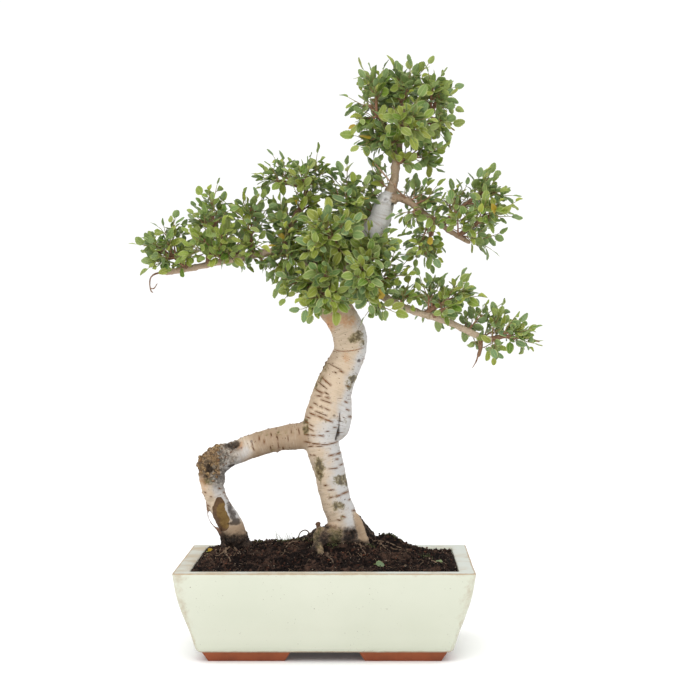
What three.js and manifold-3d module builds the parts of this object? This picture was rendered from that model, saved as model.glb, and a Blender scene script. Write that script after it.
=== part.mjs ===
// Chinese elm bonsai with a propped second trunk, in a rectangular glazed pot.
// Millimetres, +Z up, the front of the tree faces -Y, and the feet stand on Z = 0.

import * as THREE from 'three';
import { mergeVertices } from 'three/addons/utils/BufferGeometryUtils.js';
import Module from 'manifold-3d';

const wasm = await Module();
wasm.setup();

// Clearance between pieces that touch in the real tree
const GAP = 0.3;

// Pot: a tapered rectangle with a flat rim, on four bare corner feet
const POT_LENGTH = 260;
const POT_WIDTH = 190;
const POT_HEIGHT = 80;
const RIM_WIDTH = 14.5;
const RIM_ARRIS = 1.2;
const FOOT_HEIGHT = 8.6;
const POT_FLOOR = 18;
const FLOOR_INSET = 25;
const OUTER_CORNER = 6;
const INNER_CORNER = 5;
const CORNER_STEPS = 3;
// How far the outside has drawn in from the rim's outline, by height
const POT_TAPER = [[8.6, 19.6], [11, 17.4], [17, 15.5], [26, 13], [39, 8.5], [57, 3.5], [78.8, 0.1]];
const FOOT_LENGTH = 77;
const FOOT_RETURN = 44;
const FOOT_RAIL = 13;
const FOOT_INSET_X = 23;
const FOOT_INSET_Y = 20;
const FOOT_SLANT = 5;
const FOOT_ROOT = 1;
const DRAIN_RADIUS = 8;
const DRAIN_X = 55;
const DRAIN_SIDES = 12;

// Mesh screens that keep the soil out of the drain holes
const SCREEN_SIDE = 25;
const SCREEN_THICKNESS = 1.2;
const SCREEN_CELLS = 2;
const SCREEN_BAR = 2.5;

// Soil: low along the front, banked up round the trunk and the propped stem
const SOIL_EDGE = 77.5;
const SOIL_LOWEST = 72.5;
const SOIL_RINGS = [1, 0.82, 0.62, 0.42, 0.2];
const SOIL_SIDE_STEPS = [4, 3];
const SOIL_BANKS = [
  { x: -22, y: 0, height: 15, reachX: 92, reachY: 58 },
  { x: 20, y: 0, height: 13, reachX: 40, reachY: 42 },
  { x: 105, y: 52, height: -4.5, reachX: 45, reachY: 42 },
];

// Wood: each stem is a row of points [x, y, z, radius] along its middle line
const TRUNK = [
  [22, 0, 72, 13], [20, 0, 92, 15.8], [18, 0, 104, 14.4], [13, -1, 120, 13.6], [8, -1, 133, 13.6],
  [2, -2, 161, 14.4], [-3, -3, 179, 15], [-5.5, -3, 196, 15.8], [-3, -2, 211, 17], [2, 0, 224, 17.6],
  [8.5, 1, 241, 16.6], [15, 2, 255, 15.5], [20.5, 3, 268, 15], [21, 3, 280, 15.8], [18, 2, 290, 15.2],
  [11, 0, 303, 14.8], [0, -3, 316, 14.2], [-7, -4, 330, 13.5], [-2, -4, 347, 13], [14, -3, 360, 12.3],
  [33, -1, 371, 11.2], [46.5, 0, 385, 10.2], [51.5, 0, 400, 8.8], [56, 0, 411, 7.2],
];
const PROP = [
  [-79, 6, 74, 8], [-84, 6, 97, 11.8], [-88, 6, 109, 11], [-93, 5, 118, 10.4], [-98, 4, 127, 10],
  [-102.5, 3, 137, 9.8], [-105, 2, 148, 10.4], [-105, 1, 160, 12.6], [-97, 0, 171, 12.6],
  [-84, 0, 176.5, 11], [-70, 0, 181.5, 10.8], [-54, -1, 187, 11], [-38, -1, 190, 11.6],
  [-20, -2, 192, 12.2], [-6, -2, 194, 12],
];
const LIMBS = {
  leader: [[56, 0, 408, 6.6], [59, 0, 417, 4.8], [61.5, -1, 426, 3.6], [62.5, -2, 437, 4],
    [64, -1, 450, 3.5], [67, 1, 464, 3.1], [69.5, 2, 478, 2.7], [69, 2, 491, 2.2], [73, 3, 503, 1.7]],
  apex_left: [[65, 0, 457, 2.5], [55, -6, 470, 2.1], [46, -6, 483, 1.7], [38, -5, 493, 1.3]],
  apex_right: [[68, 1, 468, 2.5], [81, 2, 479, 2.1], [93, -2, 487, 1.7], [101, -3, 495, 1.3]],
  apex_front: [[65, 0, 459, 2.2], [68, -14, 468, 1.8], [73, -26, 474, 1.4]],
  apex_back: [[68, 1, 472, 2.2], [64, 15, 481, 1.8], [62, 27, 491, 1.4]],
  apex_low: [[63, -1, 441, 2.2], [74, -3, 444, 1.8], [84, 0, 448, 1.4]],
  left: [[-4, -3, 343, 7], [-22, -6, 355, 5.6], [-42, -8, 359, 4.9], [-63, -8, 357, 4.6],
    [-80, -7, 353.5, 4.4], [-97, -6, 350, 4.3], [-115, -7, 346, 4], [-133, -8, 342.5, 3.8],
    [-148, -9, 340, 4.2]],
  left_riser: [[-32, -7, 357, 4.2], [-34, -8, 372, 3.8], [-31, -6, 386, 3.4], [-23, -3, 400, 2.9],
    [-19, 1, 413, 2.4], [-21, 3, 426, 1.9]],
  left_stub: [[-20, 1, 418, 2.4], [-34, 1, 422, 2.2], [-47, 1, 422.5, 2.1]],
  left_rear: [[-78, -7, 354, 2.4], [-84, 8, 361, 1.9], [-90, 20, 366, 1.4]],
  left_front: [[-92, -7, 351, 2.4], [-98, -19, 356, 1.8], [-108, -26, 358, 1.4]],
  left_inner: [[-66, -8, 357, 2.4], [-70, -3, 373, 1.9], [-77, 1, 386, 1.4]],
  left_outer: [[-108, -7, 348, 2.4], [-106, -5, 368, 2], [-102, -5, 382, 1.7], [-104, -5, 393, 1.3]],
  left_tip: [[-126, -8, 344, 2.6], [-134, -7, 352, 2.2], [-144, -8, 357, 1.7], [-154, -9, 360, 1.3]],
  high_right: [[55, -1, 407, 5], [66, -6, 408, 4], [76, -9, 403, 3.6], [88, -11, 394, 3.3],
    [102, -12, 384.5, 3], [116, -12, 375, 2.8], [130, -13, 367, 2.6]],
  high_right_riser: [[104, -12, 383, 2.5], [114, -8, 392, 2.1], [125, -4, 402, 1.7], [136, -4, 409, 1.3]],
  high_right_drop: [[94, -12, 389, 2.3], [96, -14, 380, 1.8], [95, -15, 373, 1.3]],
  high_right_end: [[118, -12, 373, 2.4], [132, -14, 382, 1.9], [144, -16, 391, 1.4]],
  low_right: [[10, -5, 352, 6.4], [28, -9, 337, 5.4], [45.5, -12, 322.5, 4.9], [63, -14, 312, 4.6],
    [80, -15, 305, 4.4], [96, -16, 300, 4.2], [111.5, -16, 295, 4], [126, -16, 288, 3.8],
    [139.5, -15, 282, 3.7], [151, -15, 279, 3.4]],
  low_right_tip: [[148, -15, 280, 2.6], [160, -15, 282.5, 1.9], [172, -14, 281.5, 1.5], [181, -14, 281, 1.2]],
  low_right_side: [[88, -15, 303, 2.3], [104, -19, 312, 1.9], [118, -21, 317, 1.4]],
  low_right_drop: [[139, -15, 282, 2.3], [139, -16, 272, 1.8], [137, -16, 264, 1.4]],
  low_right_front: [[96, -16, 300, 2.3], [102, -25, 305, 1.8], [107, -31, 308, 1.3]],
  middle_low: [[-2, -6, 338, 3.2], [-3, -22, 330, 2.6], [0, -34, 322, 2], [6, -40, 315, 1.5]],
  middle_front: [[14, -6, 361, 3.2], [10, -22, 366, 2.5], [4, -34, 370, 1.9], [2, -42, 371, 1.4]],
  middle_right: [[30, -5, 369, 3], [37, -18, 358, 2.4], [39, -28, 346, 1.9], [40, -34, 335, 1.4]],
  middle_high: [[42, 0, 381, 3], [30, -5, 391, 2.4], [22, -8, 400, 1.9], [17, -8, 412, 1.4]],
  middle_rear: [[8, 2, 354, 3], [2, 18, 361, 2.5], [-4, 32, 364, 2], [-10, 40, 367, 1.5]],
  right_rear: [[47, 3, 390, 3], [50, 18, 392, 2.4], [44, 30, 386, 1.9], [38, 38, 382, 1.4]],
};
// Roots that show at the soil and dive into it
const ROOTS = [
  [[24, -4, 109, 8], [36, -8, 103, 6.4], [48, -12, 95, 4.6], [58, -15, 84, 3]],
  [[12, -7, 107, 7.4], [2, -15, 103, 6.2], [-8, -22, 95, 4.6], [-16, -27, 84, 3]],
  [[6, -2, 106, 7], [-10, -3, 101, 5.2], [-26, -2, 92, 3.6], [-36, 0, 82, 2.6]],
  [[20, 6, 107, 8], [28, 22, 97, 5.4], [34, 36, 84, 3]],
  [[-82, 5, 101, 9], [-74, 0, 92, 6.6], [-64, -4, 80, 3.6]],
];
// A thin root that has grown down through the air beside the prop
const AIR_ROOT = [[-101, -4, 133, 2.2], [-110.5, -6, 124, 2], [-110, -6, 116, 1.9], [-105, -6, 109, 1.9],
  [-100, -5, 103, 2], [-95, -3, 92, 2.4]];
// Lumps of healed wood: [x, y, z, half width, half depth, half height]
const BURRS = [[-103, 0, 165, 15.5, 13.5, 12.5], [55, -2, 409, 9, 8.5, 7]];
// A fold of wood that runs down the trunk's right side and ends above the fork
const FLAP = [[8, 0, 241, 12], [9, -1, 223, 13], [11, -2, 206, 11.5], [13, -2, 193, 8.5], [13, -2, 187, 4]];
const TRUNK_SIDES = 12;
const TRUNK_STEPS = 20;
const PROP_SIDES = 10;
const PROP_STEPS = 13;
const FLAP_SIDES = 8;
const LIMB_SIDES = 6;
const ROOT_SIDES = 5;
const SHOOT_SIDES = 4;
const TWIG_GUARD_SIDES = 4;
const THICK_LIMB = 3.4;

// Leaves: elliptic, fuller on one side of the rib, and folded a little along it
const LEAF_LENGTH = 13;
const LEAF_WIDTH = 7.2;
const LEAF_THICKNESS = 0.7;
const LEAF_FOLD = 0.22;
const LEAF_CURL = 0.1;
const LEAF_LEFT_EDGE = [[0.24, 0.42], [0.62, 0.46]];
const LEAF_RIGHT_EDGE = [[0.34, 0.47], [0.72, 0.4]];

// Sprays: a twig from the nearest stem to a tip in the crown, leaves in two ranks and one at the end
const TWIG_RADIUS = 1.1;
const TWIG_TIP_RADIUS = 0.75;
// Where a twig's three-cornered section lies about its middle, as shares of its radius
const TWIG_CORNERS = { aside: 0.87, above: 0.5, below: -1 };
const SHORTEST_TWIG = 17;
const SEAT_BACK = 0.5;
const STEM_SAMPLES = 24;
const FIRST_CROWN_POINT = 14;
const TWIG_RISE = 0.06;
const TWIG_BOW = 0.1;
const TWIG_SWAY = 0.16;
const SIDE_LEAVES = 7;
const FIRST_LEAF = 0.26;
const LAST_LEAF = 0.9;
const STALK_WIDTH = 1.5;
const LEAF_ANGLE = 62;
const LEAF_ANGLE_SPREAD = 11;
const LEAF_TILT = 0.42;
const LEAF_SMALLEST = 0.84;
const LEAF_SIZE_SPREAD = 0.24;
const LEAF_SHRINK = 0.03;
const SPRAY_STRAY = 0.75;
const LEAN_OUT = [0.004, 0.012];
// Steps between the seeds of pads, sprays, leaves and a leaf's tries
const PAD_SEED = 100;
const SPRAY_SEED = 4.3;
const LEAF_SEED = 3.7;
const TRY_SEED = 7.31;
const SPRAY_TRIES = 12;
const LEAF_TRIES = 8;
const SPRAY_TIPS = {
  apex: [[47, -8, 519], [68, 8, 524], [81, -8, 525], [108, -6, 506], [109, 20, 494], [111, -12, 475],
    [102, 2, 450], [75, -14, 446], [41, 4, 459], [28, -8, 477], [27, 10, 495], [59, -40, 477],
    [72, 41, 490], [56, 28, 508]],
  high_right: [[92, -18, 356], [94, -4, 415], [123, 2, 416], [152, -6, 415], [156, -18, 395], [152, -4, 368],
    [118, -40, 394]],
  low_right: [[79, -8, 346], [97, -18, 333], [129, -22, 323], [147, -4, 306], [184, -14, 285],
    [132, -18, 247], [50, -28, 301], [111, -42, 310]],
  middle: [[-23, -34, 324], [-7, -46, 310], [41, -44, 318], [24, -52, 340], [52, -30, 360],
    [23, -46, 383], [-3, -52, 375], [2, -12, 414], [1, 52, 363], [26, 54, 379], [-26, 44, 372]],
  high_left: [[-46, -6, 437], [-23, 6, 442], [-1, -8, 435], [-64, 0, 426]],
  left: [[-107, -6, 412], [-142, -6, 384], [-164, -10, 370], [-127, -32, 360],
    [-89, -38, 374], [-84, 4, 404], [-59, -8, 401], [-108, 30, 378]],
};

// Leaves that have dropped on the soil: [x, y, heading in degrees]
const FALLEN_LEAVES = [[44, -62, 20], [98, -30, -40]];
const FALLEN_SIZE = 0.8;
const FALLEN_DROP = 5;
const FALLEN_STEP = 0.2;

const DEG = Math.PI / 180;
const UP = new THREE.Vector3(0, 0, 1);

const pot = new THREE.MeshStandardMaterial({ color: 0xe4e8d6, roughness: 0.25, metalness: 0 });
const netPlastic = new THREE.MeshStandardMaterial({ color: 0x2f3a34, roughness: 0.7, metalness: 0 });
const earth = new THREE.MeshStandardMaterial({ color: 0x33241b, roughness: 1, metalness: 0 });
const bark = new THREE.MeshStandardMaterial({ color: 0xcfc3b2, roughness: 0.85, metalness: 0 });
const leafGreen = new THREE.MeshStandardMaterial({ color: 0x4e7a35, roughness: 0.45, metalness: 0 });
const fallenGreen = new THREE.MeshStandardMaterial({ color: 0xa5b06a, roughness: 0.6, metalness: 0 });

// A repeatable draw between 0 and 1
function draw(seed) {
  const wave = Math.sin(seed * 12.9898) * 43758.5453;
  return wave - Math.floor(wave);
}

// A repeatable draw between -1 and 1
function swing(seed) {
  return 2 * draw(seed) - 1;
}

function toSolid(geometry) {
  const bare = geometry.clone();
  bare.deleteAttribute('normal');
  bare.deleteAttribute('uv');
  const merged = mergeVertices(bare, 1e-4);
  return new wasm.Manifold(new wasm.Mesh({
    numProp: 3,
    vertProperties: Float32Array.from(merged.attributes.position.array),
    triVerts: Uint32Array.from(merged.index.array),
  }));
}

function toGeometry(solid) {
  const { vertProperties, triVerts, numProp } = solid.getMesh();
  const positions = new Float32Array((vertProperties.length / numProp) * 3);
  for (let i = 0; i < positions.length / 3; i += 1) {
    positions.set(vertProperties.subarray(i * numProp, i * numProp + 3), i * 3);
  }
  const geometry = new THREE.BufferGeometry();
  geometry.setAttribute('position', new THREE.BufferAttribute(positions, 3));
  geometry.setIndex(Array.from(triVerts));
  geometry.computeVertexNormals();
  return geometry;
}

function join(solids) {
  return solids.reduce((whole, solid) => whole.add(solid));
}

function largestPiece(solid) {
  const pieces = solid.decompose();
  return pieces.reduce((best, piece) => (piece.volume() > best.volume() ? piece : best));
}

function sharedVolume(a, b) {
  return a.intersect(b).volume();
}

// Closes a stack of rings of equal length into a body, with a flat fan on each end
function stackedRings(rings) {
  const around = rings[0].length;
  const positions = rings.flat().flatMap((p) => [p.x, p.y, p.z]);
  const faces = [];
  for (let level = 0; level < rings.length - 1; level += 1) {
    for (let i = 0; i < around; i += 1) {
      const a = level * around + i;
      const b = level * around + ((i + 1) % around);
      faces.push(a, b, b + around, a, b + around, a + around);
    }
  }
  const top = (rings.length - 1) * around;
  for (let i = 1; i < around - 1; i += 1) {
    faces.push(0, i + 1, i, top, top + i, top + i + 1);
  }
  const geometry = new THREE.BufferGeometry();
  geometry.setAttribute('position', new THREE.Float32BufferAttribute(positions, 3));
  geometry.setIndex(faces);
  return geometry;
}

// A smooth line through the points, and the radius along it
function stemLine(points) {
  const places = points.map(([x, y, z]) => new THREE.Vector3(x, y, z));
  return new THREE.CatmullRomCurve3(places, false, 'catmullrom', 0.5);
}

function stemRadius(points, t) {
  const place = t * (points.length - 1);
  const index = Math.min(Math.floor(place), points.length - 2);
  return THREE.MathUtils.lerp(points[index][3], points[index + 1][3], place - index);
}

// A stem with a round section whose radius follows its points
function stem(points, sides, steps, extra = 0) {
  const line = stemLine(points);
  const rings = [];
  const across = new THREE.Vector3();
  let side = new THREE.Vector3(0, 1, 0);
  for (let step = 0; step <= steps; step += 1) {
    const t = step / steps;
    const along = line.getTangent(t);
    side = side.clone().addScaledVector(along, -side.dot(along)).normalize();
    across.crossVectors(along, side);
    const centre = line.getPoint(t);
    const radius = stemRadius(points, t) + extra;
    const ring = [];
    for (let i = 0; i < sides; i += 1) {
      const angle = (i / sides) * 2 * Math.PI;
      ring.push(centre.clone()
        .addScaledVector(side, radius * Math.cos(angle))
        .addScaledVector(across, radius * Math.sin(angle)));
    }
    rings.push(ring);
  }
  if (extra > 0) {
    rings[0].forEach((p) => p.addScaledVector(line.getTangent(0), -extra));
    rings[steps].forEach((p) => p.addScaledVector(line.getTangent(1), extra));
  }
  return toSolid(stackedRings(rings));
}

function roundedRectangle(halfX, halfY, corner, z) {
  const ring = [];
  const centres = [[1, 1, 0], [-1, 1, 90], [-1, -1, 180], [1, -1, 270]];
  centres.forEach(([sx, sy, start]) => {
    for (let i = 0; i <= CORNER_STEPS; i += 1) {
      const angle = (start + (90 * i) / CORNER_STEPS) * DEG;
      const x = sx * (halfX - corner) + corner * Math.cos(angle);
      const y = sy * (halfY - corner) + corner * Math.sin(angle);
      ring.push(new THREE.Vector3(x, y, z));
    }
  });
  return ring;
}

function box(sizeX, sizeY, sizeZ, x, y, z) {
  const geometry = new THREE.BoxGeometry(sizeX, sizeY, sizeZ);
  geometry.translate(x, y, z);
  return toSolid(geometry);
}

function cylinder(radius, height, sides, x, y, z) {
  const geometry = new THREE.CylinderGeometry(radius, radius, height, sides);
  geometry.rotateX(Math.PI / 2);
  geometry.translate(x, y, z);
  return toSolid(geometry);
}

// Pot: outside, hollow, feet and drain holes
function potInset(z) {
  const depth = (POT_HEIGHT - z) / (POT_HEIGHT - POT_FLOOR);
  return RIM_WIDTH + (FLOOR_INSET - RIM_WIDTH) * depth;
}

function potInside(clearance, top) {
  const inset = (z) => potInset(z) + clearance;
  const ring = (z) => roundedRectangle(
    POT_LENGTH / 2 - inset(z), POT_WIDTH / 2 - inset(z), INNER_CORNER, z);
  return toSolid(stackedRings([ring(POT_FLOOR + clearance), ring(top)]));
}

function potFoot(signX, signY) {
  const outline = new THREE.Shape([
    new THREE.Vector2(0, 0),
    new THREE.Vector2(-FOOT_LENGTH, 0),
    new THREE.Vector2(-FOOT_LENGTH, -FOOT_RAIL),
    new THREE.Vector2(-FOOT_RAIL, -FOOT_RAIL),
    new THREE.Vector2(-FOOT_RAIL, -FOOT_RETURN),
    new THREE.Vector2(0, -FOOT_RETURN),
  ]);
  const height = FOOT_HEIGHT + FOOT_ROOT;
  const geometry = new THREE.ExtrudeGeometry(outline, { depth: height, bevelEnabled: false });
  // The ends of a foot lean in towards the table
  const place = geometry.attributes.position;
  for (let i = 0; i < place.count; i += 1) {
    const rise = place.getZ(i) / FOOT_HEIGHT - 1;
    const x = place.getX(i);
    const y = place.getY(i);
    place.setX(i, x + (x < -FOOT_RAIL ? -1 : 1) * FOOT_SLANT * rise);
    place.setY(i, y + (y < -FOOT_RAIL ? -1 : 1) * FOOT_SLANT * rise);
  }
  geometry.translate(POT_LENGTH / 2 - FOOT_INSET_X, POT_WIDTH / 2 - FOOT_INSET_Y, 0);
  return toSolid(geometry).scale([signX, signY, 1]);
}

function potBody() {
  const rings = POT_TAPER.map(([z, inset]) => roundedRectangle(
    POT_LENGTH / 2 - inset, POT_WIDTH / 2 - inset, OUTER_CORNER, z));
  rings.push(roundedRectangle(
    POT_LENGTH / 2 - RIM_ARRIS, POT_WIDTH / 2 - RIM_ARRIS, OUTER_CORNER - RIM_ARRIS, POT_HEIGHT));
  const outside = toSolid(stackedRings(rings));
  const feet = [[1, 1], [1, -1], [-1, 1], [-1, -1]].map(([sx, sy]) => potFoot(sx, sy));
  let body = join([outside, ...feet]).subtract(potInside(0, POT_HEIGHT + 1));
  [-DRAIN_X, DRAIN_X].forEach((x) => {
    body = body.subtract(cylinder(DRAIN_RADIUS, POT_FLOOR * 2, DRAIN_SIDES, x, 0, POT_FLOOR));
  });
  return body;
}

// A square of plastic net that lies over a drain hole
function drainScreen(x) {
  const middle = POT_FLOOR + GAP + SCREEN_THICKNESS / 2;
  let net = box(SCREEN_SIDE, SCREEN_SIDE, SCREEN_THICKNESS, x, 0, middle);
  const pitch = (SCREEN_SIDE - SCREEN_BAR) / SCREEN_CELLS;
  const cell = pitch - SCREEN_BAR;
  const first = -pitch * (SCREEN_CELLS - 1) / 2;
  for (let i = 0; i < SCREEN_CELLS; i += 1) {
    for (let j = 0; j < SCREEN_CELLS; j += 1) {
      const hole = box(cell, cell, SCREEN_THICKNESS * 3, x + first + i * pitch, first + j * pitch, middle);
      net = net.subtract(hole);
    }
  }
  return net;
}

// Height of the soil's surface at a place in the pot
function soilHeight(x, y) {
  return SOIL_BANKS.reduce((height, bank) => {
    const dx = (x - bank.x) / bank.reachX;
    const dy = (y - bank.y) / bank.reachY;
    return height + bank.height * Math.exp(-(dx * dx + dy * dy));
  }, SOIL_EDGE);
}

// A rectangle with cut corners and points along its sides
function soilEdge(halfX, halfY, z) {
  const [stepsX, stepsY] = SOIL_SIDE_STEPS;
  const longX = halfX - INNER_CORNER;
  const longY = halfY - INNER_CORNER;
  const ring = [];
  const side = (from, to, steps) => {
    for (let i = 0; i <= steps; i += 1) {
      ring.push(new THREE.Vector3(...from, z).lerp(new THREE.Vector3(...to, z), i / steps));
    }
  };
  side([halfX, -longY], [halfX, longY], stepsY);
  side([longX, halfY], [-longX, halfY], stepsX);
  side([-halfX, longY], [-halfX, -longY], stepsY);
  side([-longX, -halfY], [longX, -halfY], stepsX);
  return ring;
}

function soilBody(woodWithGap, screens) {
  const floor = POT_FLOOR + GAP;
  const edge = (z) => soilEdge(
    POT_LENGTH / 2 - potInset(z) - GAP, POT_WIDTH / 2 - potInset(z) - GAP, z);
  const rings = [edge(floor)];
  SOIL_RINGS.forEach((share) => {
    const ring = edge(SOIL_LOWEST);
    ring.forEach((p) => {
      p.multiplyScalar(share);
      p.z = soilHeight(p.x, p.y);
    });
    rings.push(ring);
  });
  let body = toSolid(stackedRings(rings)).subtract(woodWithGap);
  screens.forEach((x) => {
    const recess = SCREEN_THICKNESS + 2 * GAP;
    const side = SCREEN_SIDE + 2 * GAP;
    body = body.subtract(box(side, side, recess * 2, x, 0, POT_FLOOR + GAP));
  });
  return body;
}

// Wood: trunk, prop, limbs, burrs and roots, grown as one piece
function burr([x, y, z, rx, ry, rz], extra) {
  const geometry = new THREE.IcosahedronGeometry(1, 1);
  geometry.scale(rx + extra, ry + extra, rz + extra);
  geometry.translate(x, y, z);
  return toSolid(geometry);
}

function limb(points, extra) {
  const sides = points[0][3] >= THICK_LIMB ? LIMB_SIDES : SHOOT_SIDES;
  return stem(points, sides, points.length - 1, extra);
}

function wood(extra) {
  return join([
    stem(TRUNK, TRUNK_SIDES, TRUNK_STEPS, extra),
    stem(PROP, PROP_SIDES, PROP_STEPS, extra),
    ...Object.values(LIMBS).map((points) => limb(points, extra)),
    ...ROOTS.map((points) => stem(points, ROOT_SIDES, points.length - 1, extra)),
    stem(FLAP, FLAP_SIDES, FLAP.length - 1, extra),
    stem(AIR_ROOT, SHOOT_SIDES, AIR_ROOT.length - 1, extra),
    ...BURRS.map((place) => burr(place, extra)),
  ]);
}

// The stem point that a twig to this tip grows from, set back so that the twig leans forward
function seatFor(tip) {
  const stems = [TRUNK.slice(FIRST_CROWN_POINT), ...Object.values(LIMBS)];
  let best = { distance: Infinity };
  stems.forEach((points) => {
    const line = stemLine(points);
    const length = line.getLength();
    for (let i = 0; i <= STEM_SAMPLES; i += 1) {
      const t = i / STEM_SAMPLES;
      const distance = line.getPoint(t).distanceTo(tip);
      if (distance > SHORTEST_TWIG && distance < best.distance) {
        best = { distance, line, length, t };
      }
    }
  });
  const back = (SEAT_BACK * best.distance) / best.length;
  return best.line.getPoint(THREE.MathUtils.clamp(best.t - back, 0.04, 0.97));
}

function twigLine(seat, tip, bow, seed) {
  const span = tip.clone().sub(seat);
  const length = span.length();
  const side = new THREE.Vector3().crossVectors(span, UP).normalize();
  const middle = seat.clone().add(tip).multiplyScalar(0.5)
    .addScaledVector(UP, length * (TWIG_RISE + TWIG_BOW * bow))
    .addScaledVector(side, length * TWIG_SWAY * swing(seed + bow));
  return new THREE.QuadraticBezierCurve3(seat, middle, tip);
}

// A plain tube round a twig, to keep its room free
function twigGuard(line) {
  const steps = 3;
  const points = [];
  for (let i = 0; i <= steps; i += 1) {
    points.push([...line.getPoint(i / steps).toArray(), TWIG_RADIUS]);
  }
  return stem(points, TWIG_GUARD_SIDES, steps, GAP);
}

// The leaf's edge beyond its stalk, upper and lower side, on a frame that leaves the twig along `out`
function leafEdge(base, out, face, size, extra) {
  const across = new THREE.Vector3().crossVectors(face, out).normalize();
  const normal = new THREE.Vector3().crossVectors(out, across);
  const length = LEAF_LENGTH * size;
  const width = LEAF_WIDTH * size;
  const edge = [...LEAF_RIGHT_EDGE.map(([u, v]) => [u, -v]), [1, 0], ...LEAF_LEFT_EDGE.slice().reverse()];
  const place = ([u, v], lift) => {
    const x = u * (length + extra);
    const y = v * (width + 2 * extra);
    const z = lift + LEAF_FOLD * Math.abs(y) - LEAF_CURL * u * u * length;
    return base.clone().addScaledVector(out, x).addScaledVector(across, y).addScaledVector(normal, z);
  };
  const half = LEAF_THICKNESS / 2 + extra;
  return { upper: edge.map((p) => place(p, half)), lower: edge.map((p) => place(p, -half)) };
}

// Collects corners and faces of one closed body
class Skin {
  constructor() {
    this.positions = [];
    this.faces = [];
  }

  corner(place) {
    this.positions.push(place.x, place.y, place.z);
    return this.positions.length / 3 - 1;
  }

  // A wall between two edges that run the same way, the lower one first
  wall(lowA, lowB, highB, highA) {
    this.faces.push(lowA, lowB, highB, lowA, highB, highA);
  }

  // A leaf between the corners that its stalk shares with the twig
  leaf(edge, upperFirst, upperSecond, lowerFirst, lowerSecond) {
    const upper = edge.upper.map((p) => this.corner(p));
    const lower = edge.lower.map((p) => this.corner(p));
    const tipAt = LEAF_RIGHT_EDGE.length;
    const top = [upperFirst, upperSecond, ...upper];
    const under = [lowerFirst, lowerSecond, ...lower];
    for (let i = 0; i < top.length; i += 1) {
      const next = (i + 1) % top.length;
      const touchesTip = i === tipAt + 2 || next === tipAt + 2;
      if (!touchesTip) {
        this.faces.push(upper[tipAt], top[i], top[next]);
      }
      if (!touchesTip && under[i] !== under[next]) {
        this.faces.push(lower[tipAt], under[next], under[i]);
      }
      if (i > 0) {
        this.wall(under[i], under[next], top[next], top[i]);
      }
    }
  }

  solid() {
    const geometry = new THREE.BufferGeometry();
    geometry.setAttribute('position', new THREE.Float32BufferAttribute(this.positions, 3));
    geometry.setIndex(this.faces);
    return toSolid(geometry);
  }
}

// One loose leaf, pointed at its stalk
function looseLeaf(base, out, face, size, extra) {
  const skin = new Skin();
  const edge = leafEdge(base, out, face, size, extra);
  const rise = new THREE.Vector3().crossVectors(out, new THREE.Vector3().crossVectors(face, out)).normalize();
  const half = LEAF_THICKNESS / 2 + extra;
  const upper = skin.corner(base.clone().addScaledVector(rise, half).addScaledVector(out, -extra));
  const lower = skin.corner(base.clone().addScaledVector(rise, -half).addScaledVector(out, -extra));
  const top = edge.upper.map((p) => skin.corner(p));
  const under = edge.lower.map((p) => skin.corner(p));
  const tipAt = LEAF_RIGHT_EDGE.length;
  const highs = [upper, ...top];
  const lows = [lower, ...under];
  highs.forEach((high, i) => {
    const next = (i + 1) % highs.length;
    skin.wall(lows[i], lows[next], highs[next], high);
    if (i !== tipAt + 1 && next !== tipAt + 1) {
      skin.faces.push(top[tipAt], high, highs[next], under[tipAt], lows[next], lows[i]);
    }
  });
  return skin.solid();
}

function boundsOf(solid) {
  const { min, max } = solid.boundingBox();
  return new THREE.Box3(new THREE.Vector3(...min), new THREE.Vector3(...max));
}

// What is already in place, with its bounds, to test new pieces against
const placed = [];

function settle(solid) {
  placed.push({ solid, bounds: boundsOf(solid) });
}

function isClear(candidate) {
  const bounds = boundsOf(candidate);
  return placed
    .filter((item) => item.bounds.intersectsBox(bounds))
    .every((item) => sharedVolume(item.solid, candidate) <= 0);
}

// The direction a leaf's upper face turns to: up and out of the crown
function facing(place, seed) {
  const outward = new THREE.Vector3(place.x * LEAN_OUT[0], place.y * LEAN_OUT[1], 0);
  const stray = new THREE.Vector3(swing(seed + 0.1), swing(seed + 0.2), swing(seed + 0.3));
  return UP.clone().add(outward).addScaledVector(stray, SPRAY_STRAY).normalize();
}

function leafDirection(along, face, sideSign, angle) {
  const side = new THREE.Vector3().crossVectors(face, along).normalize();
  return along.clone().multiplyScalar(Math.cos(angle))
    .addScaledVector(side, sideSign * Math.sin(angle)).normalize();
}

// Finds room for one leaf by turning and shrinking it; gives nothing where there is none
function leafPlan(line, t, sideSign, face, seed, own) {
  const base = line.getPoint(t);
  const along = line.getTangent(t);
  for (let turn = 0; turn < LEAF_TRIES; turn += 1) {
    const trial = seed + turn * TRY_SEED;
    const tilt = new THREE.Vector3(swing(trial + 0.1), swing(trial + 0.2), swing(trial + 0.3));
    const leafFace = face.clone().addScaledVector(tilt, LEAF_TILT).normalize();
    const angle = sideSign === 0 ? 0 : LEAF_ANGLE + LEAF_ANGLE_SPREAD * swing(trial + 0.4);
    const out = leafDirection(along, leafFace, sideSign, angle * DEG);
    const size = (LEAF_SMALLEST + LEAF_SIZE_SPREAD * draw(trial + 0.5)) * (1 - LEAF_SHRINK * turn);
    const start = base.clone().addScaledVector(out, TWIG_RADIUS);
    const guard = looseLeaf(start, out, leafFace, size, GAP);
    const crossesOwn = own.some((leaf) => sharedVolume(leaf, guard) > 0);
    if (!crossesOwn && isClear(guard)) {
      return { t, sideSign, guard, edge: leafEdge(base, out, leafFace, size, 0) };
    }
  }
  return null;
}

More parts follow.
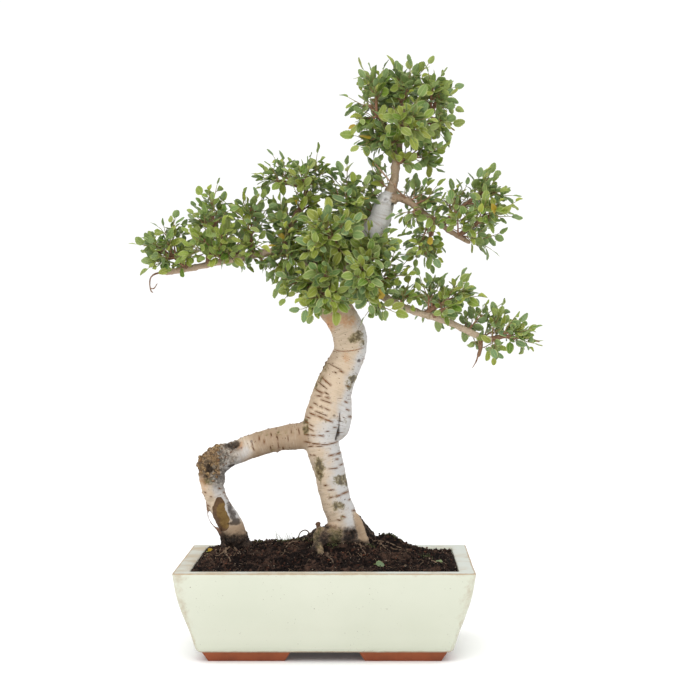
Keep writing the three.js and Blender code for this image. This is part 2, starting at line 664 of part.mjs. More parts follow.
// The three corners of a twig's section: left and right above, and one below
function twigSection(skin, line, t, face) {
  const along = line.getTangent(t);
  const left = new THREE.Vector3().crossVectors(face, along).normalize();
  const up = new THREE.Vector3().crossVectors(along, left);
  const radius = THREE.MathUtils.lerp(TWIG_RADIUS, TWIG_TIP_RADIUS, t);
  const centre = line.getPoint(t);
  const corner = (sideways, rise) => skin.corner(
    centre.clone().addScaledVector(left, sideways * radius).addScaledVector(up, rise * radius));
  const { aside, above, below } = TWIG_CORNERS;
  return { left: corner(aside, above), right: corner(-aside, above), under: corner(0, below) };
}

// One side of the twig between two sections: 1 is left, -1 is right
function twigSide(skin, a, b, sideSign) {
  if (sideSign > 0) {
    skin.wall(a.under, a.left, b.left, b.under);
  } else {
    skin.wall(a.right, a.under, b.under, b.right);
  }
}

// A twig with its leaves grown out of it as one closed skin
function spraySkin(line, face, leaves) {
  const skin = new Skin();
  const stalk = STALK_WIDTH / line.getLength();
  let last = twigSection(skin, line, 0, face);
  skin.faces.push(last.left, last.under, last.right);
  const step = (t, leaf) => {
    const next = twigSection(skin, line, t, face);
    skin.wall(last.left, last.right, next.right, next.left);
    const bareSides = [1, -1].filter((sign) => !leaf || sign !== leaf.sideSign);
    bareSides.forEach((sign) => twigSide(skin, last, next, sign));
    if (leaf && leaf.sideSign > 0) {
      skin.leaf(leaf.edge, last.left, next.left, last.under, next.under);
    } else if (leaf) {
      skin.leaf(leaf.edge, next.right, last.right, next.under, last.under);
    }
    last = next;
  };
  leaves.filter((leaf) => leaf.sideSign !== 0).forEach((leaf) => {
    step(leaf.t - stalk / 2, null);
    step(leaf.t + stalk / 2, leaf);
  });
  step(1, null);
  const endLeaf = leaves.find((leaf) => leaf.sideSign === 0);
  if (endLeaf) {
    skin.leaf(endLeaf.edge, last.left, last.right, last.under, last.under);
  } else {
    skin.faces.push(last.left, last.right, last.under);
  }
  return skin.solid();
}

// Leaves alternate along the twig, and the last one carries on where it ends
function planLeaves(line, face, seed) {
  const leaves = [];
  const own = [];
  for (let i = 0; i <= SIDE_LEAVES; i += 1) {
    const atEnd = i === SIDE_LEAVES;
    const t = atEnd ? 1 : THREE.MathUtils.lerp(FIRST_LEAF, LAST_LEAF, i / (SIDE_LEAVES - 1));
    const sideSign = atEnd ? 0 : 1 - 2 * (i % 2);
    const leaf = leafPlan(line, t, sideSign, face, seed + i * LEAF_SEED, own);
    if (leaf) {
      leaves.push(leaf);
      own.push(leaf.guard);
    }
  }
  return leaves;
}

// Twigs first, so that no leaf takes a twig's room
function planSprays(woodWithGap) {
  const plans = [];
  Object.entries(SPRAY_TIPS).forEach(([pad, tips], padIndex) => {
    tips.forEach((place, index) => {
      const tip = new THREE.Vector3(...place);
      const seat = seatFor(tip);
      const seed = padIndex * PAD_SEED + index * SPRAY_SEED + 1;
      for (let bow = 0; bow < SPRAY_TRIES; bow += 1) {
        const line = twigLine(seat, tip, bow, seed);
        const guard = largestPiece(twigGuard(line).subtract(woodWithGap));
        if (isClear(guard)) {
          settle(guard);
          const name = `spray_${pad}_${String(index + 1).padStart(2, '0')}`;
          plans.push({ name, line, seed, face: facing(line.getPoint(0.6), seed), slot: placed.length - 1 });
          return;
        }
      }
    });
  });
  return plans;
}

// Lowers a leaf on to the soil until it just lies there
function fallenLeaf(x, y, heading) {
  const out = new THREE.Vector3(Math.cos(heading * DEG), Math.sin(heading * DEG), 0);
  const rise = soilHeight(x + out.x, y + out.y) - soilHeight(x, y);
  const slope = new THREE.Vector3(out.x, out.y, rise).normalize();
  let lift = FALLEN_DROP;
  const leaf = (extra) => {
    const base = new THREE.Vector3(x, y, soilHeight(x, y) + lift);
    return looseLeaf(base, slope, UP, FALLEN_SIZE, extra);
  };
  while (lift > 0 && isClear(leaf(GAP))) {
    lift -= FALLEN_STEP;
  }
  lift += FALLEN_STEP;
  return leaf(0);
}

const group = new THREE.Group();

function show(name, solid, material) {
  const item = new THREE.Mesh(toGeometry(solid), material);
  item.name = name;
  group.add(item);
}

const tree = wood(0);
const treeWithGap = wood(GAP);
const screens = { drain_screen_left: -DRAIN_X, drain_screen_right: DRAIN_X };
const potSolid = potBody();
const soil = soilBody(treeWithGap, Object.values(screens));

show('pot', potSolid, pot);
Object.entries(screens).forEach(([name, x]) => show(name, drainScreen(x), netPlastic));
show('soil', soil, earth);
show('tree', tree, bark);

settle(treeWithGap);
settle(soil);
const plans = planSprays(treeWithGap);
plans.forEach((plan) => {
  const ownTwig = placed[plan.slot];
  ownTwig.bounds = new THREE.Box3();
  const leaves = planLeaves(plan.line, plan.face, plan.seed);
  const grown = largestPiece(spraySkin(plan.line, plan.face, leaves).subtract(treeWithGap));
  ownTwig.solid = grown;
  ownTwig.bounds = boundsOf(grown);
  show(plan.name, grown, leafGreen);
});
FALLEN_LEAVES.forEach(([x, y, heading], index) => {
  show(`fallen_leaf_${index + 1}`, fallenLeaf(x, y, heading), fallenGreen);
});

// The origin is on the ground under the middle of the whole outline
const outline = new THREE.Box3().setFromObject(group);
group.position.x = -(outline.min.x + outline.max.x) / 2;
group.position.y = -(outline.min.y + outline.max.y) / 2;

export default group;
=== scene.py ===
"""Looks of a Chinese elm bonsai with a propped second stem, in a rectangular glazed pot.

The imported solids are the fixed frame. Places in this file are millimetres about the middle of
the pot's footprint, with the front of the tree towards -Y, and become metres in scene_points.
"""

import itertools
import math

import bpy
import numpy as np
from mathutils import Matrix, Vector, noise
from mathutils.bvhtree import BVHTree


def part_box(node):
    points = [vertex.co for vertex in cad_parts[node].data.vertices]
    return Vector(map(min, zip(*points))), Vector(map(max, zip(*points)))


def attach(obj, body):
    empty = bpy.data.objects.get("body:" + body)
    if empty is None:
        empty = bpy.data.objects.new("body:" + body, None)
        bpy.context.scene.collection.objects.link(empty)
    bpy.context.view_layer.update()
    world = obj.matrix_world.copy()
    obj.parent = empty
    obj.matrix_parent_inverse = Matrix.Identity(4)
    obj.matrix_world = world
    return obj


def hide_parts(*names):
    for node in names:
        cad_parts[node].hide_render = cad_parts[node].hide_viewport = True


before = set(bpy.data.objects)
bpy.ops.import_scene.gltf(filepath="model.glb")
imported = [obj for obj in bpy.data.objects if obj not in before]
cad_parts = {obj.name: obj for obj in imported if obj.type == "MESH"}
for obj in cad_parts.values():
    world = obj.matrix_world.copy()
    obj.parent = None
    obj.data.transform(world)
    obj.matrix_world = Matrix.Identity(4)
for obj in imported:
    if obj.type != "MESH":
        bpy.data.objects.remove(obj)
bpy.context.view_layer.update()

bl_info = {
    "name": "Chinese elm bonsai",
    "version": (1, 0, 0),
    "blender": (4, 5, 0),
    "location": "3D View > Sidebar > Bonsai",
    "description": "Dresses the packed solids of a Chinese elm bonsai in its pot",
    "category": "Object",
}

MM = 0.001
POT_LOW, POT_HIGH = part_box("pot")
POT_MIDDLE = (POT_LOW.x + POT_HIGH.x) / 2
POT_LENGTH = (POT_HIGH.x - POT_LOW.x) / MM
POT_WIDTH = (POT_HIGH.y - POT_LOW.y) / MM
POT_HEIGHT = POT_HIGH.z / MM
UP = np.array([0.0, 0.0, 1.0])

# Pot: how far the outside has drawn in from the rim's outline, as [height, inset]
POT_TAPER = [[8.6, 19.6], [11, 17.4], [17, 15.5], [26, 13], [39, 8.5], [57, 3.5], [78.8, 0.1]]
RIM_WIDTH = 13
POT_FLOOR = 18
FLOOR_INSET = 25
OUTER_CORNER = 4
INNER_CORNER = 5
# Rim from outside to inside: [inset, height, wear of the glaze], and where its flat top shows, in metres
RIM_PROFILE = [[-0.9, 79.2, 0.9], [-0.7, 79.6, 1], [-0.2, 79.9, 0.9], [1.2, 80.05, 0.35], [4.5, 80.15, 0],
    [7, 80.15, 0], [9.5, 80.1, 0], [11.4, 80, 0.05], [12.4, 79.8, 0.3], [13, 79.2, 0.5], [13.3, 78.2, 0.3],
    [13.5, 77, 0.1]]
RIM_TOP = [0.0790, 0.0799]
# Steps of a round corner, and of the long and the short sides
CORNER_STEPS = 7
SIDE_STEPS = [18, 13]
FOOT_HEIGHT = 8.6
FOOT_LENGTH = 77
FOOT_RETURN = 44
FOOT_RAIL = 13
FOOT_INSET = [23, 20]
FOOT_SLANT = 5
FOOT_BEVEL = 0.7
DRAIN_RADIUS = 8
DRAIN_X = 55

# Soil: low along the front, banked up round the trunk and the propped stem
SOIL_EDGE = 77.5
SOIL_AT_WALL = 79.7
SOIL_BANKS = [[-22, 0, 18, 110, 58], [24, 0, 9, 36, 26], [58, 4, 8, 13, 20], [85, 10, 4, 25, 30],
    [4, -28, -5, 15, 9], [105, 52, -3, 45, 42]]

# Wood: each stem is a row of points [x, y, z, radius] along its middle line
TRUNK = [
    [22, 0, 72, 13], [20, 0, 92, 15.8], [18, 0, 104, 14.4], [13, -1, 120, 13.6], [8, -1, 133, 13.6],
    [2, -2, 161, 14.4], [-3, -3, 179, 15], [-5.5, -3, 196, 15.8], [-3, -2, 211, 17], [2, 0, 224, 17.6],
    [8.5, 1, 241, 16.6], [15, 2, 255, 15.5], [20.5, 3, 268, 15], [21, 3, 280, 15.8], [18, 2, 290, 15.2],
    [11, 0, 303, 14.8], [0, -3, 316, 14.2], [-7, -4, 330, 13.5], [-2, -4, 347, 13], [14, -3, 360, 12.3],
    [33, -1, 371, 11.2], [46.5, 0, 385, 10.2], [51.5, 0, 400, 8.8], [56, 0, 411, 7.2],
]
PROP = [
    [-79, 6, 74, 8], [-84, 6, 97, 11.8], [-88, 6, 109, 11], [-93, 5, 118, 10.4], [-98, 4, 127, 10],
    [-102.5, 3, 137, 9.8], [-105, 2, 148, 10.4], [-105, 1, 160, 12.6], [-97, 0, 171, 12.6],
    [-84, 0, 176.5, 11], [-70, 0, 181.5, 10.8], [-54, -1, 187, 11], [-38, -1, 190, 11.6],
    [-20, -2, 192, 12.2], [-6, -2, 194, 12],
]
FLAP = [[8, 0, 241, 12], [9.5, -1, 223, 13.2], [11.5, -1.5, 210, 11.4], [12.6, -2, 202, 9.2],
    [12.6, -2, 195, 6.8], [11.5, -2, 190.5, 4], [10.2, -2, 188, 2]]
LIMBS = {
    "leader": [[56, 0, 408, 6.6], [59, 0, 417, 4.8], [61.5, -1, 426, 3.6], [62.5, -2, 437, 4],
        [64, -1, 450, 3.5], [67, 1, 464, 3.1], [69.5, 2, 478, 2.7], [69, 2, 491, 2.2], [73, 3, 503, 1.7]],
    "apex_left": [[65, 0, 457, 2.5], [55, -6, 470, 2.1], [46, -6, 483, 1.7], [38, -5, 493, 1.3]],
    "apex_right": [[68, 1, 468, 2.5], [81, 2, 479, 2.1], [93, -2, 487, 1.7], [101, -3, 495, 1.3]],
    "apex_front": [[65, 0, 459, 2.2], [68, -14, 468, 1.8], [73, -26, 474, 1.4]],
    "apex_back": [[68, 1, 472, 2.2], [64, 15, 481, 1.8], [62, 27, 491, 1.4]],
    "apex_low": [[63, -1, 441, 2.2], [74, -3, 444, 1.8], [84, 0, 448, 1.4]],
    "left": [[-4, -3, 343, 7], [-22, -6, 355, 5.2], [-42, -8, 359, 4.1], [-63, -8, 357, 3.5],
        [-80, -7, 353.5, 3.1], [-97, -6, 350, 2.7], [-115, -7, 346, 2.6], [-133, -8, 342.5, 2.8],
        [-148, -9, 340, 2.3]],
    "left_riser": [[-32, -7, 357, 4.2], [-34, -8, 372, 3.8], [-31, -6, 386, 3.4], [-23, -3, 400, 2.9],
        [-19, 1, 413, 2.4], [-21, 3, 426, 1.9]],
    "left_stub": [[-20, 1, 418, 2.4], [-34, 1, 422, 2.2], [-47, 1, 422.5, 2.1]],
    "left_rear": [[-78, -7, 354, 2.4], [-84, 8, 361, 1.9], [-90, 20, 366, 1.4]],
    "left_front": [[-92, -7, 351, 2.4], [-98, -19, 356, 1.8], [-108, -26, 358, 1.4]],
    "left_inner": [[-66, -8, 357, 2.4], [-70, -3, 373, 1.9], [-77, 1, 386, 1.4]],
    "left_outer": [[-108, -7, 348, 2.4], [-106, -5, 368, 2], [-102, -5, 382, 1.7], [-104, -5, 393, 1.3]],
    "left_tip": [[-126, -8, 344, 2.6], [-134, -7, 352, 2.2], [-144, -8, 357, 1.7], [-154, -9, 360, 1.3]],
    "high_right": [[55, -1, 407, 5], [66, -6, 408, 3.4], [76, -9, 403, 2.7], [88, -11, 394, 2.5],
        [102, -12, 384.5, 2.4], [116, -12, 375, 2.3], [130, -13, 367, 1.7]],
    "high_right_riser": [[104, -12, 383, 2.5], [114, -8, 392, 2.1], [125, -4, 402, 1.7],
        [136, -4, 409, 1.3]],
    "high_right_drop": [[94, -12, 389, 2.3], [96, -14, 380, 1.8], [95, -15, 373, 1.3]],
    "high_right_end": [[118, -12, 373, 2.4], [132, -14, 382, 1.9], [144, -16, 391, 1.4]],
    "low_right": [[10, -5, 352, 6.4], [28, -9, 337, 5], [45.5, -12, 322.5, 3.8], [63, -14, 312, 3.3],
        [80, -15, 305, 3.1], [96, -16, 300, 3], [111.5, -16, 295, 2.8], [126, -16, 288, 2.7],
        [139.5, -15, 282, 3.1], [151, -15, 279, 2.2]],
    "low_right_tip": [[148, -15, 280, 2.6], [160, -15, 282.5, 1.9], [172, -14, 281.5, 1.5],
        [181, -14, 281, 1.2]],
    "low_right_side": [[88, -15, 303, 2.3], [104, -19, 312, 1.9], [118, -21, 317, 1.4]],
    "low_right_drop": [[139, -15, 282, 2.3], [139, -16, 272, 1.8], [137, -16, 264, 1.4]],
    "low_right_front": [[96, -16, 300, 2.3], [102, -25, 305, 1.8], [107, -31, 308, 1.3]],
    "middle_low": [[-2, -6, 338, 3.2], [-3, -22, 330, 2.6], [0, -34, 322, 2], [6, -40, 315, 1.5]],
    "middle_front": [[14, -6, 361, 3.2], [10, -22, 366, 2.5], [4, -34, 370, 1.9], [2, -42, 371, 1.4]],
    "middle_right": [[30, -5, 369, 3], [37, -18, 358, 2.4], [39, -28, 346, 1.9], [40, -34, 335, 1.4]],
    "middle_high": [[42, 0, 381, 3], [30, -5, 391, 2.4], [22, -8, 400, 1.9], [17, -8, 412, 1.4]],
    "middle_rear": [[8, 2, 354, 3], [2, 18, 361, 2.5], [-4, 32, 364, 2], [-10, 40, 367, 1.5]],
    "right_rear": [[47, 3, 390, 3], [50, 18, 392, 2.4], [44, 30, 386, 1.9], [38, 38, 382, 1.4]],
}
ROOTS = [
    [[24, -5, 119, 5], [29.6, -9, 111.8, 3.5], [32.8, -12, 103, 3.3], [36, -15, 95, 3.4], [38, -17, 88, 3]],
    [[12, -6, 108, 7], [2, -14, 102, 5.6], [-8, -21, 94, 4.2], [-16, -27, 84, 3]],
    [[6, -2, 106, 7], [-10, -3, 101, 5.2], [-26, -2, 92, 3.6], [-36, 0, 82, 2.6]],
    [[20, 6, 107, 8], [28, 22, 97, 5.4], [34, 36, 84, 3]],
    [[-82, 6, 99, 8], [-74, 3, 92, 6], [-64, -2, 80, 3.6]],
    [[24, 3, 116, 6.4], [32, 3, 107, 6], [40, 2, 98, 5], [48, -2, 88, 3]],
    [[-3, -9, 107, 4], [-9, -15, 103, 3.2], [-8, -22, 97, 2.8], [-5, -27, 91, 2.6], [-3, -32, 85, 2.4]],
    [[-9, -9, 102, 1.3], [-8.6, -9, 107, 1.1], [-8.2, -9, 110, 1.5], [-8, -9, 112.5, 2.7],
        [-8, -9, 114.2, 1.4]],
]
AIR_ROOT = [[-108, 4, 139, 2.2], [-109.6, 3, 130, 1.9], [-109.2, 2, 124, 1.2], [-108.3, 1, 118, 1],
    [-106.4, 0, 113.5, 1], [-103.7, -1, 110, 1.1], [-100.1, -2, 107.3, 1.2], [-97.4, -4, 104, 1.6],
    [-95, -6, 99.5, 2], [-93.5, -9, 93.5, 2.4], [-92, -14, 86, 2.6]]
# Roots and shoots that lie on the soil: a path of [x, y] places and a radius
SURFACE_ROOTS = [[[-5, -27], [0.5, -41], [7, -56], 1.5], [[24, -12], [28, -21], [36, -26], 0.7],
    [[-92, -8], [-90, -20], [-88, -32], [-84, -46], 1.5], [[-96, -6], [-104, -16], [-109, -28], 1.1],
    [[-84, -8], [-79, -22], [-80, -34], 1.1], [[-88, -10], [-96, -26], [-98, -40], 0.8],
    [[44, -8], [56, -22], [62, -40], 0.65], [[30, -16], [34, -34], [28, -52], 0.8],
    [[92, -30], [108, -40], 0.9],
    [[-20, -8], [-34, -20], [-40, -38], 0.6], [[30, 26], [48, 40], [60, 52], 1.2],
    [[-86, 16], [-94, 34], 1.2],
    [[42, -8], [58, -11], [74, -15], [88, -16], 0.8], [[46, -12], [60, -18], [76, -20], 0.7]]
ROOT_ARCH = [[-26, -5, 97, 0.7], [-24.8, -5, 103, 0.6], [-21.5, -5, 106, 0.6], [-18, -6, 106, 0.6],
    [-14.6, -7, 102, 0.6]]

# Crown: the tips that sprays reach, by pad. The first ones of each pad stand for a CAD spray
SPRAY_TIPS = {
    "apex": [[47, -8, 519], [68, 8, 524], [81, -8, 525], [108, -6, 506], [109, 20, 494], [111, -12, 475],
        [102, 2, 450], [75, -14, 446], [41, 4, 459], [28, -8, 477], [27, 10, 495], [59, -40, 477],
        [72, 41, 490], [56, 28, 508]],
    "high_right": [[92, -18, 356], [94, -4, 415], [123, 2, 416], [152, -6, 415], [156, -18, 395],
        [152, -4, 368], [118, -40, 394]],
    "low_right": [[79, -8, 346], [97, -18, 333], [129, -22, 323], [147, -4, 306], [184, -14, 285],
        [132, -18, 247], [50, -28, 301], [111, -42, 310]],
    "middle": [[-23, -34, 324], [-7, -46, 310], [41, -44, 318], [24, -52, 340], [52, -30, 360],
        [23, -46, 383], [-3, -52, 375], [2, -12, 414], [1, 52, 363], [26, 54, 379], [-26, 44, 372]],
    "high_left": [[-46, -6, 437], [-23, 6, 442], [-1, -8, 435], [-64, 0, 426]],
    "left": [[-107, -6, 412], [-142, -6, 384], [-164, -10, 370], [-127, -32, 360],
        [-89, -38, 374], [-84, 4, 404], [-59, -8, 401], [-108, 30, 378]],
}
MORE_TIPS = {
    "apex": [[93, 22, 511], [84, -36, 483], [104, 10, 512], [96, -18, 510], [92, -22, 462], [60, -22, 454],
        [84, -30, 470], [48, -24, 468], [88, 24, 470], [58, 24, 456], [74, -22, 510], [56, 12, 516],
        [40, 22, 474], [88, 8, 456], [48, 20, 498], [76, -38, 468], [97, -8, 518], [44, -6, 522],
        [112, -6, 466], [34, -8, 452], [36, -16, 462], [98, -8, 444]],
    "high_right": [[131, 22, 402], [100, -22, 410], [110, 12, 408], [84, 12, 410], [160, 4, 402],
        [165, -12, 400], [146, -24, 404], [80, -26, 386], [100, -30, 390], [84, 10, 386],
        [132, -34, 388], [142, 8, 384], [161, -12, 415], [152, -14, 418]],
    "low_right": [[159, -14, 292], [115, 16, 308], [46, -30, 342], [60, -24, 334], [70, -10, 324],
        [54, 14, 330], [38, -38, 330], [92, -26, 326], [104, 8, 314],
        [118, -30, 320], [176, -22, 290], [78, -32, 322],
        [148, -18, 272], [132, 10, 292], [74, -20, 344], [88, -14, 348], [132, -24, 322], [152, -14, 306],
        [186, -16, 278]],
    "middle": [[15, -44, 308], [-30, -34, 349], [14, 0, 427], [20, 40, 325],
        [40, -4, 428], [36, 14, 420], [28, 20, 404], [30, -22, 410], [-46, -18, 392],
        [-38, 10, 398], [-50, 8, 376], [-42, -26, 370], [-28, 16, 386], [-8, -18, 404], [8, 16, 410],
        [-34, -22, 344], [-26, 14, 336], [-18, -36, 330], [-8, -32, 390], [26, -38, 390], [16, -36, 404],
        [-20, -46, 354], [12, -56, 362], [36, -50, 352], [0, -54, 342], [26, -54, 328], [-6, -42, 318],
        [44, -36, 372], [-30, -24, 376], [14, -50, 320], [30, -38, 314], [-14, -52, 366], [24, -30, 374],
        [0, 48, 340], [30, 46, 352], [-30, 36, 352], [10, 50, 390], [-16, 36, 334], [36, 40, 376],
        [60, -14, 364], [24, 24, 388], [-12, -36, 352], [0, -36, 360], [10, -40, 346], [-4, -32, 370],
        [18, -34, 364], [26, -36, 354], [-20, -30, 362], [10, -30, 378], [-44, -20, 334], [-50, -14, 338],
        [-40, -28, 326], [-12, -40, 302], [16, -24, 392], [-18, -20, 380], [40, -20, 340]],
    "high_left": [[-23, -28, 425], [-48, -20, 424], [-10, -22, 426], [-22, -20, 410], [-34, 16, 428],
        [-10, 18, 418]],
    "left": [[-122, 4, 388], [-160, -8, 350], [-69, -16, 352], [-74, 28, 379], [-120, -26, 378],
        [-96, 16, 392], [-74, -28, 386], [-132, 14, 368], [-60, 14, 386], [-152, 10, 364], [-68, -32, 366],
        [-104, -36, 354], [-158, -16, 354], [-118, -20, 386], [-94, -20, 394], [-66, -12, 406],
        [-144, -22, 372], [-52, -12, 346], [-88, 22, 360], [-140, -16, 350], [-126, -10, 360],
        [-82, -20, 364], [-100, -14, 372]],
}
# How the leaves of each pad differ: size, blue share and strength of the pale margin
PAD_LOOKS = {"apex": [1.02, 0.65, 0.75], "high_right": [0.94, 0.8, 0.85], "low_right": [0.96, 1, 1],
    "middle": [1.04, 0.95, 1], "high_left": [0.9, 0.35, 0.5], "left": [0.9, 0.4, 0.55]}
# How far short of the CAD's tip a hanging spray's twig ends
SHORT_TWIGS = {"low_right_06": 26}
# Middle and half size of each pad, to say which way is out of the crown
PADS = {
    "apex": [[71, 0, 482], [46, 42, 46]], "high_right": [[120, -10, 386], [50, 34, 34]],
    "low_right": [[122, -16, 298], [70, 32, 46]], "middle": [[12, 0, 352], [54, 46, 62]],
    "high_left": [[-34, 0, 414], [44, 30, 28]], "left": [[-105, -6, 362], [68, 36, 40]],
}
# Twigs that had to bow more than the rest to stay clear of their neighbours
TWIG_BOWS = {"apex_11": 1, "apex_13": 1, "high_right_04": 2, "middle_07": 3, "high_left_03": 1,
    "left_02": 1, "left_05": 3, "left_08": 1}
FIRST_CROWN_POINT = 14
SHORTEST_TWIG = 17
SEAT_BACK = 0.5
STEM_SAMPLES = 24

# Moss on the soil: [x, y, reach along, reach across], and where hairs of grass stand
GREEN_PATCHES = [[56, 6, 9, 6], [64, 2, 7, 5], [8, -19, 7, 4], [-14, -8, 9, 6], [-26, -4, 9, 7],
    [-38, 0, 8, 6],
    [-62, 8, 7, 5], [30, 22, 8, 6], [-40, 16, 6, 5], [90, -20, 5, 4], [40, -20, 4, 3], [-8, -22, 4, 5]]
HAIR_GRASS = [[-38, -2], [-41, 0], [-35, 2], [-44, -3], [-33, -1], [-47, 3]]
# Where no crumbs lie: [x, y, radius] of the trunk's and the prop's foot
TRUNK_FOOT = [21, 0, 15]
PROP_FOOT = [-83, 6, 11]
# How far the soil and the loose bits on it keep from the pot's inner wall
SOIL_GAP = 0.3
LOOSE_GAP = 1.2
# Grid of the soil's surface, and heights of the rings in its wall
SOIL_STEP = 1.15
SOIL_RINGS = [60, POT_FLOOR + 0.4]

# Numbers of the stems in wood_stems, whose roots come in the order of ROOTS
TRUNK_KIND, PROP_KIND, FLAP_KIND, PALE_ROOT = range(4)
DARK_ROOT = PALE_ROOT + 5
MOSSY_ROOT = PALE_ROOT + 6
NUB = PALE_ROOT + 7
THIN_ROOT = PALE_ROOT + len(ROOTS)
# Way from point to point along the middle lines, and along the meshes of the limbs
STEM_SPACING = 1.5
THIN_SPACING = 2
LIMB_SPACING = 1.3
# Limbs whose first points are joined into the skin of the trunk
COLLARS = ["leader", "left", "high_right", "low_right", "middle_low", "middle_front", "middle_right",
    "middle_high", "middle_rear", "right_rear"]
# How often the skin is drawn smooth at the joins, and how often the notes of its colours are
JOIN_ROUNDS = 60
NOTE_ROUNDS = 16
# Rays that look for the bark start this far in front of the tree
RAY_FRONT = -80
# Rounded lumps at the elbow, the top knob and the foot of the trunk: [x, y, z, half sizes]
MOSSY_KNOB = [7.5, -14, 101.5]
WOOD_LUMPS = [[-103, 0, 165, 14, 12.5, 12], [-110, -3, 170, 7, 8, 6], [-108, -5, 157, 8, 7, 7],
    [-97, 4, 176, 9, 8, 6], [-86, -3, 182, 8, 7, 5], [55, -2, 409, 8, 7.5, 6], [51, -6, 405, 4.5, 4, 4],
    [60, -5, 406, 4, 4, 4], [8, -14, 101, 7, 5, 5], [-1, -12, 99, 6, 5, 4], [16, -16, 99, 7, 5, 5],
    [26, -14, 97, 6, 5, 4], [*MOSSY_KNOB, 7.4, 6, 7]]
# Dark middles of the old branch scars on the knob, as [x, z]
EYES = [[53, 406.5], [60.5, 407.3], [60, 402]]
# Marks on the front of the wood: [x, z, half width, half height, strength]
OLIVE_MARKS = [[-6.5, 163, 4.8, 11, 1.0], [-8, 170, 3, 5, 0.8], [14, 152.5, 8.5, 5, 1.0],
    [19, 149, 4, 3, 0.9],
    [11, 129.5, 6, 4, 0.95], [9, 126, 4, 2, 0.7], [24.5, 243.5, 6, 4, 1.0], [20, 239, 5, 5, 0.6],
    [25, 281, 6, 5, 0.95], [30, 285, 4, 3, 0.8], [32, 277, 3, 6, 0.7], [-4, 256, 6, 7, 0.7],
    [-13, 240, 5, 7, 0.9],
    [-7, 246, 4, 8, 0.6], [15, 119.5, 3, 3, 0.7], [-18.5, 198, 3, 4, 1.1], [-18.5, 205, 3, 4, 0.9],
    [-50, 195, 26, 4, 0.35], [-110, 152, 6, 5, 0.6], [22, 252, 6, 4, 0.4], [16, 201, 2.4, 9, 0.4],
    [1, 138, 7, 5, 0.3], [-1, 210, 9, 7, 0.3], [-50, 181, 3, 6, 0.4]]
RUST_MARKS = [[17.5, 264, 4, 7, 0.7], [22, 257, 8, 5, 0.25], [20, 296, 9, 7, 0.7], [2, 292, 7, 7, 0.8],
    [10, 299, 14, 6, 0.7], [62, 433, 5, 14, 0.9], [-109, 166, 9, 10, 1.1], [-111, 152, 6, 7, 0.8],
    [-79, 183, 4, 5, 1.0], [52, 402, 5, 4, 0.35], [-26, 190, 3, 8, 0.3], [-101.5, 147.5, 3.5, 1.6, 0.9],
    [-112, 131, 3, 5, 0.45], [30, 272, 4, 4, 0.4], [5, 112, 7, 4, 0.5], [-111, 141, 3, 5, 0.5]]
DARK_MARKS = [[-85, 185, 6, 4.5, 1], [-92, 186, 5, 3, 0.8], [-106.5, 163, 3.2, 5, 1.2],
    [-108.5, 157, 2.4, 3, 1],
    [53, 406.5, 1.5, 1.2, 1], [60.5, 407.3, 1.4, 1.2, 1], [60, 402, 1.2, 1, 0.9], [29.3, 260.3, 2, 1.6, 0.9],
    [-86, 164.5, 4, 2, 0.8], [-88.5, 125, 2.2, 4.6, 0.8], [-86, 119.5, 2.8, 4.4, 0.8],
    [-83, 114.5, 3.4, 2.6, 0.9], [-84.5, 112.2, 6, 1.6, 1], [-90, 130, 1.6, 2.5, 0.6],
    [7, 211, 1.6, 1.8, 0.6], [-97, 178, 4, 2, 0.5]]
MOSS_MARKS = [[-97, 169.5, 6, 1.8, 1], [-104, 168, 4, 3, 0.7], [-107, 151, 7, 4, 0.8], [13, 151, 8, 4, 0.4],
    [7, 101, 6, 5, 0.9], [-8, 100, 4, 10, 0.7]]
CORK_MARKS = [[-105, 165, 13, 14, 1.2], [-88, 183, 10, 7, 0.9], [-96, 174, 10, 8, 1.1],
    [-97, 156, 9, 12, 0.8],
    [-86, 171, 7, 6, 0.6]]
# The smooth yellow brown patch low on the prop, and where it is golden
PATCH = [[-97.8, 133, 3.4, 3.6, 1], [-97.6, 129.5, 5, 5, 1], [-98.4, 125, 6, 6, 1], [-97.4, 120, 7.2, 6.5, 1],
    [-95.4, 115.5, 7, 6.5, 1], [-94.4, 111, 5.6, 6, 1], [-100.5, 117.5, 4, 6, 1]]
GOLDEN = [[-95, 123, 5, 8, 1], [-92.5, 115, 5, 7, 1]]
# Ring scars right round the arm: [x, z, strength]
ARM_RINGS = [[-66.7, 179.5, 0.35], [-44, 186, 0.3], [-25.5, 189, 0.4]]
CLEFT = [[12.2, 214], [11.2, 202], [9.4, 189]]
# The orange scar right across the trunk and the fainter crease below it
SCAR = [[7.2, 270.3], [10.4, 269.5], [14, 269.2], [19.4, 269.3], [25.2, 270], [30.2, 271.4], [35, 273.3]]
CREASE = [[0, 228.8], [4.1, 227.5], [9.5, 226.7], [14.9, 226.6], [18.5, 225.5], [22.6, 225.2]]
